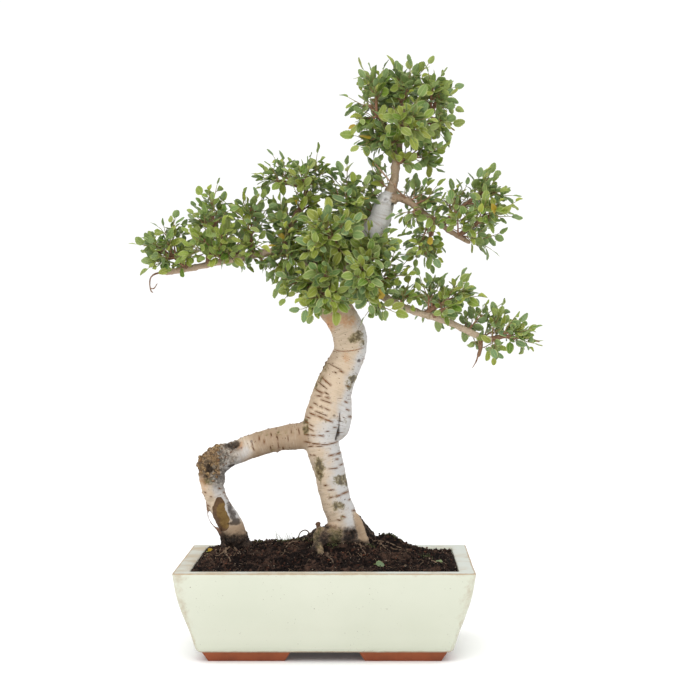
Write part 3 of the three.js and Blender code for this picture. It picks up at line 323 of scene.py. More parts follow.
# Dark dashes in the bark that the front shows, from [x, z] to [x, z]
FRONT_DASHES = [
    [3.5, 257, 12.5, 252.5], [-4.5, 245.5, 3.5, 238.5], [-8, 241.5, 0.5, 235], [-12, 236.5, -5, 231],
    [-9, 229, -4.5, 228.5], [-5, 225.5, 4, 222.5], [-1, 228, 2.5, 226.5], [-12, 222.5, -8.5, 221],
    [-6, 219.5, -3, 218.5], [-1.5, 218, 2.5, 216], [-15.5, 218.5, -13, 218], [-15.5, 213.5, -10.5, 211.5],
    [-10, 215, 0.5, 211], [-8, 211, -2.5, 208.5], [-1.5, 208, 5, 205.5], [-19, 210, -15, 208.5],
    [-20, 206, -16, 204], [-15, 203, -12, 201.5], [-17.5, 200.5, -12, 197.5], [-19.5, 194, -15.5, 193.5],
    [-14, 193.5, -10, 193], [-7, 193.5, -2.5, 192.5], [-20, 187.5, -14, 186.5], [-13, 186, -6, 185.5],
    [-5, 185, 2.5, 185], [3, 185.5, 9, 186.5], [-16.5, 183, -12, 183.5], [-9.5, 183.5, -3, 183.5],
    [-15.5, 175.5, -13.5, 175], [-12, 175.5, -10, 175], [2.5, 175, 6, 175.5], [8.5, 176, 13, 177],
    [2.5, 163, 10, 163.5], [12, 166, 16, 167], [1.5, 143.5, 6.5, 144], [2.5, 136.5, 6, 137.5],
    [9, 138, 12.5, 139], [14, 140, 19.5, 141.5], [20.5, 134, 24, 134.5], [23.5, 124.5, 25.5, 124.5],
    [-2, 147.5, 0, 148], [14, 120, 17, 119], [17.5, 216.5, 20, 215.5], [19.5, 210, 22, 209],
    [16.5, 223.5, 18.5, 222.5], [12, 251.5, 15, 250], [7, 250.5, 9, 249.5], [17.5, 238, 20.5, 237],
    [6, 200.5, 8.5, 200], [-0.5, 197, 2.5, 197], [-7.5, 158.5, -5, 158], [9.5, 117, 13, 116],
    [8.5, 171.5, 10.5, 171.5], [17.5, 161, 20, 161.5], [-1.5, 232, 2, 230], [-9, 234, -3.5, 231.5],
    [-25.5, 199, -24.5, 194], [-45, 193, -44, 188.5], [-44, 186.5, -43.5, 181], [-68, 187.5, -67, 183.5],
    [-67, 182.5, -65.5, 179], [-51, 183.5, -50.5, 180], [-56.5, 188.5, -56.5, 186], [-35, 192.5, -34.5, 188],
    [-32, 198, -32, 195], [-39.5, 182.5, -39, 179], [-61, 191.5, -61, 188.5], [-50.5, 195, -50, 192],
    [-109, 128.5, -107, 127.5], [-111.5, 141, -109.5, 140.5], [-98.5, 144.5, -96.5, 144],
    [-94.5, 140.5, -93, 139.5], [-106, 137, -104.5, 137], [-92, 135.5, -90, 133.5], [-89, 131, -87.5, 128.5],
]
# Dashes scattered round the stems: points, shares from and to, how many and the longest
DASH_BANDS = [(TRUNK, 0.12, 0.62, 330, 8), (TRUNK, 0.62, 0.98, 60, 4), (PROP, 0.2, 0.4, 40, 4),
    (PROP, 0.62, 0.94, 70, 6), (LIMBS["left"], 0.1, 0.95, 50, 3), (LIMBS["low_right"], 0.1, 0.95, 50, 3)]
CORK_PLATES = 300
# Warts on the arm and the trunk's outline: [x, y, z, size]
WARTS = [[-71.5, 0, 191.5, 1.5], [-64.2, 0, 194, 1.2], [-53.1, -1, 197.6, 1.3], [-34, -1, 202, 1],
    [-44.2, -1, 174.8, 1.4], [-78, -1, 188.5, 1.3], [-2.5, -1, 259.5, 1.8], [-5, -2, 255.5, 1.6],
    [-8.5, -2, 249.5, 1.2], [0.8, 1, 262.5, 1.3], [-112.4, 2, 140, 1.2], [-111.5, 3, 134, 1.1],
    [-21.5, -4, 200, 1.4], [33, 2, 262, 1]]
# Where stems meet and the skin is drawn smooth: [x, y, z, reach]
JOINS = [[-12, -2, 193, 17], [9, -1, 238, 15], [4, -3, 222, 8], [20, -12, 237, 15],
    [14, -14, 226, 12], [12, -15, 216, 8], [-4, -3, 343, 12], [56, -1, 408, 7],
    [10, -5, 352, 11], [28, 0, 102, 13], [12, -8, 108, 9], [4, -3, 105, 9], [-82, 5, 101, 8]]
# Brown of the twigs, grey and tan share of the limbs that differ from the rest
LIMB_TONES = {"left": [0.3, 0, 0.6], "low_right": [0.25, 0.15, 0.5], "high_right": [0.42, 0, 0.8],
    "leader": [0.25, 0, 0.75]}
PLAIN_LIMB = [0.8, 0, 0.7]
ROOT_TONE = [0, 0, 0.9]
# Thin twigs without leaves, as rows of points like the limbs
BARE_TWIGS = [
    [[-147, -9, 340, 1.4], [-154, -11, 339.5, 0.9], [-159, -12, 336, 0.7], [-160, -12, 330, 0.6],
        [-159, -12, 324, 0.6], [-157, -12, 322, 0.5]],
    [[-159.5, -12, 326, 0.6], [-156, -13, 326, 0.5], [-153, -13, 330.5, 0.35]],
    [[44, -18, 438, 0.7], [51, -18, 430, 0.8], [58, -17, 421.5, 0.8], [66, -13, 413, 0.9],
        [73.5, -9, 406, 1]],
    [[181, -14, 281, 1], [187, -14, 279.5, 0.8], [192.5, -14, 277.5, 0.6]],
    [[137, -16, 266, 0.9], [135, -17, 260, 0.6], [131.5, -18, 254, 0.4]],
]

# Leaves: teeth on each side, how far a tooth leans to the tip and stands out, and the blade's thickness
LEAF_ROWS = 6
TOOTH_LEAN = 0.62
TOOTH_OUT = 1.045
BLADE_THICKNESS = 0.17
LEAF_CREASE = math.radians(70)
LEAF_CLEARANCE = 2.2
TWIG_POINTS = 13
# How often a leaf is turned to find room, the room it needs, and the way from shoot to shoot
LEAF_TRIES = 4
LEAF_GAP = 4.3
SHOOT_EVERY = 4.6
# How far short of the CAD's tip a twig ends, to leave room for its last leaf
TIP_ROOM = 8
# Fallen leaves of the CAD: youth, width, size, lean and heading
DROPPED_LEAVES = {1: [0.12, 1.35, 0.66, -0.75, 20], 2: [0.35, 1, 0.6, -0.4, -40]}
DROPPED_HEIGHT = 1.9
# The yellow scrap of leaf: [x, y, height over the soil]
YELLOW_SCRAP = [-107, -4, 2]

# Stage, in metres but for the camera
FLOOR_HALF = 8.0
KEY_PLACE = (-0.35, -1.65, 1.5)
KEY_SIZE = 1.6
LIGHT_AIM = (0, 0, 0.25)
PHOTO_WIDTH = 700
CAMERA_PLACE = [45.6, -1664, 310]
# The photograph's frame is cut so that its middle lies left of and below the camera's own axis
CAMERA_SHIFT = [-27 / PHOTO_WIDTH, -44 / PHOTO_WIDTH]


def draw(seed):
    """A repeatable number between 0 and 1 for each seed."""
    return math.sin(seed * 12.9898) * 43758.5453 % 1.0


def swing(seed):
    """A repeatable number between -1 and 1 for each seed."""
    return 2 * draw(seed) - 1


def swings(seed):
    """A repeatable direction for each seed."""
    return np.array([swing(seed + step) for step in (0.1, 0.2, 0.3)])


def unit(vectors):
    """The vectors at length one."""
    vectors = np.asarray(vectors, float)
    return vectors / np.maximum(np.linalg.norm(vectors, axis=-1, keepdims=True), 1e-9)


def ease(values, low, high):
    """0 below low, 1 above high, and smooth between them."""
    share = np.clip((np.asarray(values, float) - low) / (high - low), 0, 1)
    return share * share * (3 - 2 * share)


def scene_points(points):
    """Millimetres about the pot's middle as metres in the frame."""
    return np.asarray(points, float) * MM + [POT_MIDDLE, 0, 0]


def linked(name, data):
    """A new object in the scene."""
    item = bpy.data.objects.new(name, data)
    bpy.context.scene.collection.objects.link(item)
    return item


def grain(points, scale, stretch=(1, 1, 1), octaves=3, seed=0.0):
    """Fractal noise at each point, about -1 to 1, with features of about scale millimetres."""
    spots = np.asarray(points, float) / (np.asarray(stretch, float) * scale) + seed
    return np.array([noise.fractal(Vector(p), 0.6, 2.1, octaves) for p in spots.tolist()])


def stem_points(points, places):
    """Points on the smooth line through a stem's own points, at shares of its way."""
    spots = np.array([p[:3] for p in points], float)
    ends = np.vstack([2 * spots[0] - spots[1], spots, 2 * spots[-1] - spots[-2]])
    place = np.clip(np.asarray(places, float), 0, 1) * (len(spots) - 1)
    index = np.minimum(place.astype(int), len(spots) - 2)
    w = (place - index)[:, None]
    a, b, c, d = (ends[index + k] for k in range(4))
    return 0.5 * (2 * b + (c - a) * w + (2 * a - 5 * b + 4 * c - d) * w**2 + (3 * b - a - 3 * c + d) * w**3)


def stem_radii(points, places):
    """Radius of a stem at shares of its way."""
    place = np.clip(np.asarray(places, float), 0, 1) * (len(points) - 1)
    return np.interp(place, range(len(points)), [p[3] for p in points])


def line_length(line):
    """Length of a line through all its points."""
    return float(np.linalg.norm(np.diff(line, axis=0), axis=1).sum())


def even_shares(points, spacing, fewest=0):
    """Shares of a stem's way that lie about so far apart."""
    rough = stem_points(points, np.linspace(0, 1, 60))
    return np.linspace(0, 1, max(fewest, int(line_length(rough) / spacing)))


def point_at(line, place):
    """The point of a line at a place counted in rows, and the row before it."""
    row = min(int(place), len(line) - 2)
    return line[row] + (line[row + 1] - line[row]) * (place - row), row


def line_frames(line):
    """Direction, side and rise at each point of a line, turning as little as possible."""
    along = unit(np.gradient(line, axis=0))
    side = np.zeros_like(along)
    last = np.array([0.0, 1.0, 0.0]) if abs(along[0][1]) < 0.9 else np.array([1.0, 0.0, 0.0])
    for i, direction in enumerate(along):
        last = unit(last - direction * (last @ direction))
        side[i] = last
    return along, side, np.cross(along, side)


def spokes(line, sides):
    """Directions from each point of a line to the corners of a ring round it."""
    _, side, rise = line_frames(line)
    angle = (np.arange(sides) * 2 * math.pi / sides)[None, :, None]
    return np.cos(angle) * side[:, None] + np.sin(angle) * rise[:, None]


def tube(line, radii, sides):
    """Corners and faces of a closed round stem along a line."""
    radii = np.asarray(radii, float).reshape(len(line), -1)
    corners = (line[:, None] + spokes(line, sides) * radii[:, :, None]).reshape(-1, 3)
    return corners, [*ring_faces(len(line), sides), *cap_faces(len(line), sides)]


def ring_faces(levels, around):
    """Quads between rings of corners that follow each other."""
    level = np.arange(levels - 1)[:, None] * around
    first = np.arange(around)[None, :]
    second = (first + 1) % around
    quads = np.stack([level + first, level + second, level + second + around, level + first + around], -1)
    return [quads.reshape(-1, 4)]


def cap_faces(levels, around):
    """Fans of triangles over the first and the last ring."""
    fan = np.array([[0, i + 1, i] for i in range(1, around - 1)])
    return [fan, fan[:, [0, 2, 1]] + (levels - 1) * around]


class Heap:
    """Gathers the corners and faces of many shapes for one mesh, with notes on each corner."""

    def __init__(self):
        self.corners = []
        self.faces = []
        self.kinds = []
        self.notes = {}
        self.count = 0

    def add(self, corners, faces, kind=0, **notes):
        """Adds a shape, made of one material, with its notes."""
        corners = np.asarray(corners, float)
        for group in faces:
            self.faces += (np.asarray(group) + self.count).tolist()
            self.kinds += [kind] * len(group)
        self.corners.append(corners)
        self.count += len(corners)
        for key, values in notes.items():
            rows = np.broadcast_to(np.asarray(values, float), (len(corners), np.shape(values)[-1]))
            self.notes.setdefault(key, []).append(rows)


def make_piece(name, heap, materials, replaces=(), crease=None):
    """A mesh object that rides on the part's one body."""
    mesh = bpy.data.meshes.new(name)
    mesh.from_pydata(scene_points(np.concatenate(heap.corners)).tolist(), [], heap.faces)
    for material in materials:
        mesh.materials.append(material)
    mesh.polygons.foreach_set("material_index", heap.kinds)
    for key, rows in heap.notes.items():
        attribute = mesh.attributes.new(key, "FLOAT_VECTOR", "POINT")
        attribute.data.foreach_set("vector", np.concatenate(rows).astype(np.float32).ravel())
    mesh.shade_smooth()
    if crease is not None:
        mesh.set_sharp_from_angle(angle=crease)
    mesh.update()
    piece = linked(name, mesh)
    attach(piece, "root")
    if replaces:
        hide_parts(*replaces)


def modified(corners, faces, modifiers):
    """Corners in millimetres and faces of a mesh after Blender's own modifiers."""
    mesh = bpy.data.meshes.new("shaping")
    mesh.from_pydata(np.asarray(corners).tolist(), [], faces)
    shaping = linked("shaping", mesh)
    for kind, settings in modifiers:
        modifier = shaping.modifiers.new(kind, kind)
        for key, value in settings.items():
            setattr(modifier, key, value)
    graph = bpy.context.evaluated_depsgraph_get()
    shaped = bpy.data.meshes.new_from_object(shaping.evaluated_get(graph), depsgraph=graph)
    spots = np.empty(len(shaped.vertices) * 3)
    shaped.vertices.foreach_get("co", spots)
    result = [list(p.vertices) for p in shaped.polygons]
    normals = np.empty(len(shaped.vertices) * 3)
    shaped.vertices.foreach_get("normal", normals)
    bpy.data.objects.remove(shaping)
    bpy.data.meshes.remove(mesh)
    bpy.data.meshes.remove(shaped)
    return spots.reshape(-1, 3), result, normals.reshape(-1, 3)


class Finish:
    """A node material that is put together one node after another."""

    def __init__(self, name, **sockets):
        self.material = bpy.data.materials.new(name)
        self.material.use_nodes = True
        self.tree = self.material.node_tree
        self.surface = self.tree.nodes["Principled BSDF"]
        for key, value in sockets.items():
            self.feed(self.surface.inputs[key.replace("_", " ")], value)

    def feed(self, socket, value):
        """Sets a socket, or links it where the value comes from another node."""
        if isinstance(value, bpy.types.NodeSocket):
            self.tree.links.new(value, socket)
        elif socket.type == "RGBA":
            socket.default_value = (*value, 1.0)
        else:
            socket.default_value = value

    def add(self, kind, sockets, **settings):
        """A new node with its settings and sockets."""
        node = self.tree.nodes.new("ShaderNode" + kind)
        for key, value in settings.items():
            setattr(node, key, value)
        for key, value in sockets.items():
            self.feed(node.inputs[key], value)
        return node

    def show(self, **sockets):
        """Feeds sockets of the surface."""
        for key, value in sockets.items():
            self.feed(self.surface.inputs[key.replace("_", " ")], value)

    def note(self, name):
        """What the mesh notes at each corner."""
        return self.add("Attribute", {}, attribute_name=name).outputs["Vector"]

    def parts(self, vector):
        """The three parts of a vector."""
        return self.add("SeparateXYZ", {"Vector": vector}).outputs

    def place(self):
        """The place on the piece in metres."""
        return self.add("TexCoord", {}).outputs["Object"]

    def stretch(self, vector, scale):
        """A vector scaled along each axis."""
        node = self.add("VectorMath", {0: vector}, operation="MULTIPLY")
        node.inputs[1].default_value = scale
        return node.outputs[0]

    def noise(self, vector, scale, detail=4.0, roughness=0.55):
        """Cloudy noise between 0 and 1."""
        sockets = {"Vector": vector, "Scale": scale, "Detail": detail, "Roughness": roughness}
        return self.add("TexNoise", sockets).outputs[0]

    def cells(self, vector, scale, feature="F1"):
        """Distance to the middle of the nearest cell, or to its edge."""
        sockets = {"Vector": vector, "Scale": scale}
        return self.add("TexVoronoi", sockets, feature=feature).outputs[0]

    def ramp(self, value, low, high):
        """0 at low and 1 at high, smooth between them."""
        sockets = {"Value": value, "From Min": low, "From Max": high}
        return self.add("MapRange", sockets, interpolation_type="SMOOTHSTEP").outputs[0]

    def sum(self, operation, first, second=0.0):
        """A sum of the named kind."""
        return self.add("Math", {0: first, 1: second}, operation=operation).outputs[0]

    def plus(self, first, second):
        """Both added up."""
        return self.sum("ADD", first, second)

    def minus(self, first, second):
        """The first without the second."""
        return self.sum("SUBTRACT", first, second)

    def times(self, first, second):
        """Both multiplied."""
        return self.sum("MULTIPLY", first, second)

    def spread(self, noise, amount):
        """A noise about one half, moved to about zero and made that much stronger."""
        return self.times(self.minus(noise, 0.5), amount)

    def edge(self, share, noise, amount, low, high):
        """A share of the surface whose edge a noise makes ragged."""
        return self.ramp(self.plus(share, self.times(noise, amount)), low, high)

    def mix(self, share, first, second):
        """The first colour going over to the second."""
        sockets = {0: share, 6: first, 7: second}
        return self.add("Mix", sockets, data_type="RGBA").outputs[2]

    def bump(self, height, distance, strength):
        """Small relief in millimetres, as a normal."""
        sockets = {"Height": height, "Distance": distance * MM, "Strength": strength}
        return self.add("Bump", sockets).outputs[0]


def colour(name, description, default):
    """A colour that a user can change."""
    return bpy.props.FloatVectorProperty(
        name=name, description=description, subtype="COLOR", size=3, min=0, max=1, default=default)


def length(name, description, default):
    """A length that a user can change, given in millimetres."""
    return bpy.props.FloatProperty(
        name=name, description=description, unit="LENGTH", min=0, precision=5, default=default * MM)


class StageSettings(bpy.types.PropertyGroup):
    """Floor, light and camera."""

    floor: colour("Floor", "Colour of the floor", (0.95, 0.95, 0.95))
    floor_glow: bpy.props.FloatProperty(
        name="Floor glow", description="How much the floor shines by itself", default=0.04)
    sky: bpy.props.FloatProperty(
        name="Room light", description="Strength of the room all round", default=0.55)
    overhead: bpy.props.FloatProperty(name="Overhead light", description="Strength overhead", default=1.5)
    key: bpy.props.FloatProperty(
        name="Key light", description="Power of the soft light at the front left", unit="POWER", default=14)
    lens: bpy.props.FloatProperty(
        name="Lens", description="Focal length of the camera in millimetres", default=93.9)


class PotSettings(bpy.types.PropertyGroup):
    """Glaze and clay of the pot."""

    glaze: colour("Glaze", "Pale celadon glaze", (0.62, 0.635, 0.525))
    glaze_deep: colour("Pooled glaze", "Glaze where it lies thicker", (0.565, 0.59, 0.475))
    thin: colour("Thin glaze", "Brown body showing on the edges", (0.36, 0.24, 0.13))
    clay: colour("Clay", "Bare fired clay of the feet", (0.30, 0.074, 0.024))


class SoilSettings(bpy.types.PropertyGroup):
    """Soil and what lies on it."""

    dark: colour("Dark soil", "Colour of the wet soil", (0.0065, 0.004, 0.0035))
    light: colour("Light soil", "Colour of the drier crumbs", (0.070, 0.040, 0.028))
    crumbs: bpy.props.IntProperty(name="Crumbs", description="Number of loose crumbs", default=5200)
    fibres: bpy.props.IntProperty(name="Fibres", description="Number of loose fibres", default=360)


class WoodSettings(bpy.types.PropertyGroup):
    """Bark of the trunk and branches."""

    mesh: length("Mesh size", "Edge length of the trunk's mesh", 1.05)
    cream: colour("Cream bark", "Warm young bark", (0.60, 0.475, 0.345))
    # Pale is also the colour of the painted cool light on the trunk's right, and tan that of the painted
    # shade at its left edge
    pale: colour("Pale bark", "Grey white bark", (0.56, 0.55, 0.54))
    tan: colour("Tan bark", "Bark of the propped stem", (0.36, 0.255, 0.165))
    lenticel: colour("Lenticels", "Dark dashes across the bark", (0.12, 0.06, 0.032))
    olive: colour("Olive stain", "Algae and old bark", (0.21, 0.165, 0.065))
    shoot: colour("Shoots", "Bark of the thin twigs", (0.20, 0.10, 0.055))


class LeafSettings(bpy.types.PropertyGroup):
    """Size and greens of the leaves."""

    length: length("Length", "Length of a full leaf", 13.0)
    width: bpy.props.FloatProperty(name="Width", description="Width as a share of the length", default=0.6)
    deep: colour("Deep green", "Older leaves", (0.12, 0.24, 0.023))
    bluish: colour("Blue green", "Older leaves in the light", (0.16, 0.295, 0.15))
    fresh: colour("Fresh green", "Younger leaves", (0.47, 0.525, 0.075))
    under: colour("Underside", "Dull blue green below", (0.235, 0.35, 0.15))
    margin: colour("Margin", "Pale edge and veins", (0.62, 0.65, 0.28))
    yellow: colour("Turning", "Leaves about to fall", (0.55, 0.36, 0.03))


def glaze_finish(settings):
    """Pale celadon over a brown body, thin on the edges, bare below, with a few iron specks."""
    finish = Finish("celadon_glaze", IOR=1.5, Coat_Roughness=0.1)
    place = finish.place()
    worn, low, bare = finish.parts(finish.note("glaze_thin"))
    cloud = finish.ramp(finish.noise(place, 16, 3), 0.3, 0.75)
    body = finish.mix(finish.times(cloud, 0.6), settings.glaze, settings.glaze_deep)
    body = finish.mix(finish.times(low, 0.5), body, settings.glaze_deep)
    sideways, _, height = finish.parts(place)
    on_rim = finish.ramp(height, *RIM_TOP)
    leftward = finish.times(finish.ramp(sideways, 0.05, -0.12), 0.12)
    stain = finish.ramp(finish.plus(finish.noise(place, 38, 3, 0.6), leftward), 0.4, 0.78)
    rim = finish.mix(finish.times(stain, 0.6), (0.555, 0.575, 0.53), (0.42, 0.30, 0.17))
    body = finish.mix(on_rim, body, rim)
    ragged = finish.spread(finish.noise(place, 130, 4, 0.7), 2.0)
    edge = finish.edge(worn, ragged, 0.6, 0.3, 1.0)
    body = finish.mix(finish.times(edge, 0.8), body, settings.thin)
    specks = ((125, 0.075, 0.46, 0.8), (240, 0.1, 0.48, 0.7), (460, 0.13, 0.5, 0.5))
    for scale, reach, threshold, share in specks:
        sparse = finish.ramp(finish.noise(place, 70, 3), threshold + 0.03, threshold + 0.12)
        dots = finish.times(finish.ramp(finish.cells(place, scale), reach, reach * 0.5), sparse)
        body = finish.mix(finish.times(dots, share), body, (0.12, 0.085, 0.05))
    body = finish.mix(bare, body, (0.16, 0.07, 0.04))
    glossy = finish.ramp(height, *RIM_TOP[::-1])
    finish.show(Base_Color=body, Normal=finish.bump(finish.noise(place, 110, 2), 0.12, 0.5),
        Coat_Weight=finish.times(glossy, 0.35), Specular_IOR_Level=finish.times(glossy, 0.5),
        Roughness=finish.plus(0.7, finish.times(glossy, -0.48)))
    return finish.material


def clay_finish(settings):
    """Bare brick red clay, a little sandy and darker where it is rubbed."""
    finish = Finish("fired_clay", Roughness=0.8)
    place = finish.place()
    cloud = finish.ramp(finish.noise(place, 60, 4), 0.35, 0.7)
    dark = tuple(c * 0.7 for c in settings.clay)
    body = finish.mix(cloud, settings.clay, dark)
    sand = finish.ramp(finish.cells(place, 800), 0.2, 0.06)
    body = finish.mix(finish.times(sand, 0.35), body, tuple(min(1, c * 1.7) for c in settings.clay))
    finish.show(Base_Color=body, Normal=finish.bump(finish.noise(place, 900, 4), 0.25, 0.7))
    return finish.material


def net_finish():
    """Dull green black plastic net."""
    finish = Finish("net_plastic", Roughness=0.6)
    body = finish.mix(finish.noise(finish.place(), 200, 2), (0.02, 0.028, 0.022), (0.04, 0.05, 0.042))
    finish.show(Base_Color=body)
    return finish.material


def soil_finish(settings):
    """Dark peaty soil, drier and redder on its lumps."""
    finish = Finish("peaty_soil", Roughness=1.0, Specular_IOR_Level=0.12)
    place = finish.place()
    tone, red, _ = finish.parts(finish.note("soil_tone"))
    fine = finish.noise(place, 900, 5, 0.7)
    dry = finish.edge(tone, fine, 0.9, 0.65, 1.4)
    body = finish.mix(dry, settings.dark, settings.light)
    hollow = finish.ramp(finish.noise(place, 430, 4, 0.6), 0.5, 0.36)
    body = finish.mix(finish.times(hollow, 0.8), body, (0.004, 0.0025, 0.002))
    chalky = finish.ramp(tone, 1.3, 2.0)
    body = finish.mix(chalky, body, (0.34, 0.28, 0.21))
    rust = tuple(np.clip(np.array(settings.light) * [2.0, 1.35, 1.1], 0, 1))
    body = finish.mix(finish.times(red, 0.8), body, rust)
    finish.show(Base_Color=body, Normal=finish.bump(finish.noise(place, 1500, 5, 0.7), 0.5, 0.9))
    return finish.material


def plain_fibre_finish(name, dark, light):
    """Thin roots, moss and grass: one hue that varies from strand to strand."""
    finish = Finish(name, Roughness=0.8)
    tone = finish.parts(finish.note("soil_tone"))[0]
    patch = finish.noise(finish.place(), 300, 3)
    share = finish.edge(tone, patch, 0.5, 0.2, 1.2)
    finish.show(Base_Color=finish.mix(share, dark, light))
    return finish.material


def warped(finish, vector, scale, amount):
    """A vector that wanders by a noise."""
    wander = finish.add("TexNoise", {"Vector": vector, "Scale": scale, "Detail": 3.0}).outputs[1]
    shifted = finish.add("VectorMath", {0: wander}, operation="SUBTRACT")
    shifted.inputs[1].default_value = (0.5, 0.5, 0.5)
    scaled = finish.stretch(shifted.outputs[0], (amount, amount, amount))
    return finish.add("VectorMath", {0: vector, 1: scaled}, operation="ADD").outputs[0]


def bark_base(finish, settings, place, spot):
    """Warm and cool bark with faint bands and pores, before stains; the cool share also holds painted cool
    light on the trunk's right, and the tan share painted shade at its left edge.
    """
    cool, tan, _ = finish.parts(finish.note("bark_tone"))
    cloud = finish.minus(finish.noise(spot, 70, 5, 0.65), 0.5)
    # Pale grey white bark, and painted cool light on the trunk's right
    share = finish.edge(cool, cloud, 1.9, 0.0, 1.0)
    body = finish.mix(share, settings.cream, settings.pale)
    # Tan bark, and painted shade at the trunk's left edge
    tan_share_and_painted_shade = finish.edge(tan, cloud, 1.2, 0.1, 0.95)
    body = finish.mix(tan_share_and_painted_shade, body, settings.tan)
    bands = finish.noise(finish.stretch(place, (0.06, 0.06, 0.75)), 1, 5, 0.65)
    dim = tuple(c * 0.62 for c in settings.cream)
    blotch = finish.ramp(finish.noise(spot, 55, 4, 0.6), 0.35, 0.65)
    shade = finish.times(finish.ramp(bands, 0.45, 0.72), blotch)
    body = finish.mix(finish.times(shade, 0.75), body, dim)
    light = finish.times(finish.ramp(bands, 0.47, 0.3), 0.18)
    body = finish.mix(light, body, (0.72, 0.69, 0.63))
    freckle = finish.noise(finish.stretch(place, (0.5, 0.5, 0.9)), 1, 3, 0.6)
    body = finish.mix(finish.times(finish.ramp(freckle, 0.6, 0.72), 0.35), body, settings.lenticel)
    pores = finish.ramp(finish.cells(finish.stretch(place, (0.5, 0.5, 0.9)), 1), 0.17, 0.07)
    return finish.mix(finish.times(pores, 0.45), body, settings.lenticel), bands


def bark_finish(settings):
    """Smooth cream and grey bark, stained in places and darkened with painted shade in folds, crevices and
    seams, corky at the elbow, brown on the twigs.
    """
    finish = Finish("elm_bark", Roughness=0.75, Specular_IOR_Level=0.25)
    place = finish.note("bark_place")
    spot = finish.place()
    cork, olive, dark = finish.parts(finish.note("bark_stain"))
    rust, moss, youth = finish.parts(finish.note("bark_wash"))
    patch, golden, halo = finish.parts(finish.note("bark_patch"))
    dirt = finish.parts(finish.note("bark_tone"))[2]
    body, bands = bark_base(finish, settings, place, spot)
    ragged = finish.spread(finish.noise(spot, 420, 5, 0.75), 2.6)
    broad = finish.noise(spot, 160, 3)
    soft = finish.spread(finish.noise(spot, 260, 5, 0.7), 1.7)
    haloed = finish.edge(halo, soft, 0.5, 0.1, 0.9)
    body = finish.mix(finish.times(haloed, 0.7), body, (0.22, 0.125, 0.07))
    stained = finish.edge(olive, soft, 1.4, 0.3, 0.85)
    core = finish.edge(olive, soft, 2.0, 0.62, 1.12)
    stain = finish.mix(core, settings.olive, (0.06, 0.042, 0.014))
    body = finish.mix(finish.times(stained, 0.88), body, stain)
    rusty = finish.edge(rust, ragged, 0.5, 0.25, 1.0)
    body = finish.mix(finish.times(rusty, 0.75), body, (0.50, 0.21, 0.06))
    torn = finish.spread(finish.noise(spot, 170, 4, 0.65), 2.4)
    mellow = finish.edge(patch, torn, 0.45, 0.36, 0.62)
    umber = finish.mix(finish.ramp(soft, -0.5, 0.5), (0.075, 0.038, 0.018), (0.17, 0.10, 0.05))
    ochre = finish.mix(finish.ramp(soft, -0.6, 0.6), (0.115, 0.06, 0.015), (0.26, 0.165, 0.055))
    gold = finish.edge(golden, torn, 0.8, 0.2, 0.9)
    body = finish.mix(mellow, body, finish.mix(gold, umber, ochre))
    twig_share = finish.edge(youth, ragged, 0.3, 0.15, 1.0)
    body = finish.mix(twig_share, body, settings.shoot)
    cracked = finish.cells(warped(finish, spot, 160, 0.007), 300, "DISTANCE_TO_EDGE")
    crack = finish.edge(cracked, soft, 0.06, 0.12, 0.01)
    cork_tone = finish.mix(finish.ramp(ragged, -0.4, 0.5), (0.13, 0.10, 0.075), (0.50, 0.46, 0.40))
    rusty_cork = finish.mix(broad, (0.14, 0.085, 0.04), (0.34, 0.235, 0.13))
    cork_tone = finish.mix(finish.times(rust, 0.85), cork_tone, rusty_cork)
    cork_tone = finish.mix(finish.times(crack, 0.7), cork_tone, (0.02, 0.013, 0.009))
    body = finish.mix(cork, body, cork_tone)
    mossy = finish.edge(moss, ragged, 0.6, 0.35, 0.9)
    body = finish.mix(finish.times(mossy, 0.85), body, (0.085, 0.095, 0.035))
    soiled = finish.edge(dirt, ragged, 0.35, 0.15, 0.95)
    crumbly = finish.noise(spot, 380, 4, 0.7)
    mud = finish.mix(finish.ramp(crumbly, 0.42, 0.7), (0.011, 0.007, 0.005), (0.10, 0.062, 0.042))
    body = finish.mix(soiled, body, mud)
    # Near-black for the dark marks, ring scars and limb nodes, and painted shade in the cleft, the cork's
    # crevices and the seams between stems
    dark_marks_and_painted_shade = finish.edge(dark, ragged, 0.45, 0.2, 0.8)
    body = finish.mix(finish.times(dark_marks_and_painted_shade, 0.86), body, (0.035, 0.022, 0.014))
    fine = finish.noise(finish.stretch(place, (0.35, 0.35, 1.6)), 1, 5, 0.7)
    rough = finish.times(finish.plus(cork, dirt), finish.times(ragged, 0.9))
    relief = finish.plus(finish.plus(fine, finish.times(bands, 0.5)), rough)
    finish.show(Base_Color=body, Normal=finish.bump(relief, 0.4, 0.85))
    return finish.material


def mark_finish():
    """The corky ridges of lenticels, scars and plates: dark brown, rust, ochre or grey."""
    finish = Finish("bark_mark", Roughness=0.9, Specular_IOR_Level=0.15)
    rust, light, ochre = finish.parts(finish.note("mark_tone"))
    grainy = finish.noise(finish.place(), 900, 3, 0.7)
    rough = finish.ramp(grainy, 0.35, 0.65)
    body = finish.mix(rough, (0.055, 0.028, 0.014), (0.17, 0.085, 0.04))
    body = finish.mix(rust, body, finish.mix(grainy, (0.16, 0.055, 0.022), (0.40, 0.17, 0.065)))
    body = finish.mix(light, body, finish.mix(rough, (0.20, 0.165, 0.135), (0.48, 0.43, 0.37)))
    body = finish.mix(ochre, body, finish.mix(rough, (0.11, 0.065, 0.032), (0.42, 0.29, 0.145)))
    finish.show(Base_Color=body, Normal=finish.bump(finish.noise(finish.place(), 1400, 4, 0.7), 0.3, 0.8))
    return finish.material


def shoot_finish(settings):
    """Thin brown shoots, greener towards their young ends."""
    finish = Finish("shoot_bark", Roughness=0.6)
    tone = finish.parts(finish.note("leaf_tint"))[1]
    patch = finish.noise(finish.place(), 400, 3)
    body = finish.mix(patch, settings.shoot, tuple(min(1, c * 2.1) for c in settings.shoot))
    body = finish.mix(tone, body, (0.22, 0.24, 0.07))
    finish.show(Base_Color=body)
    return finish.material


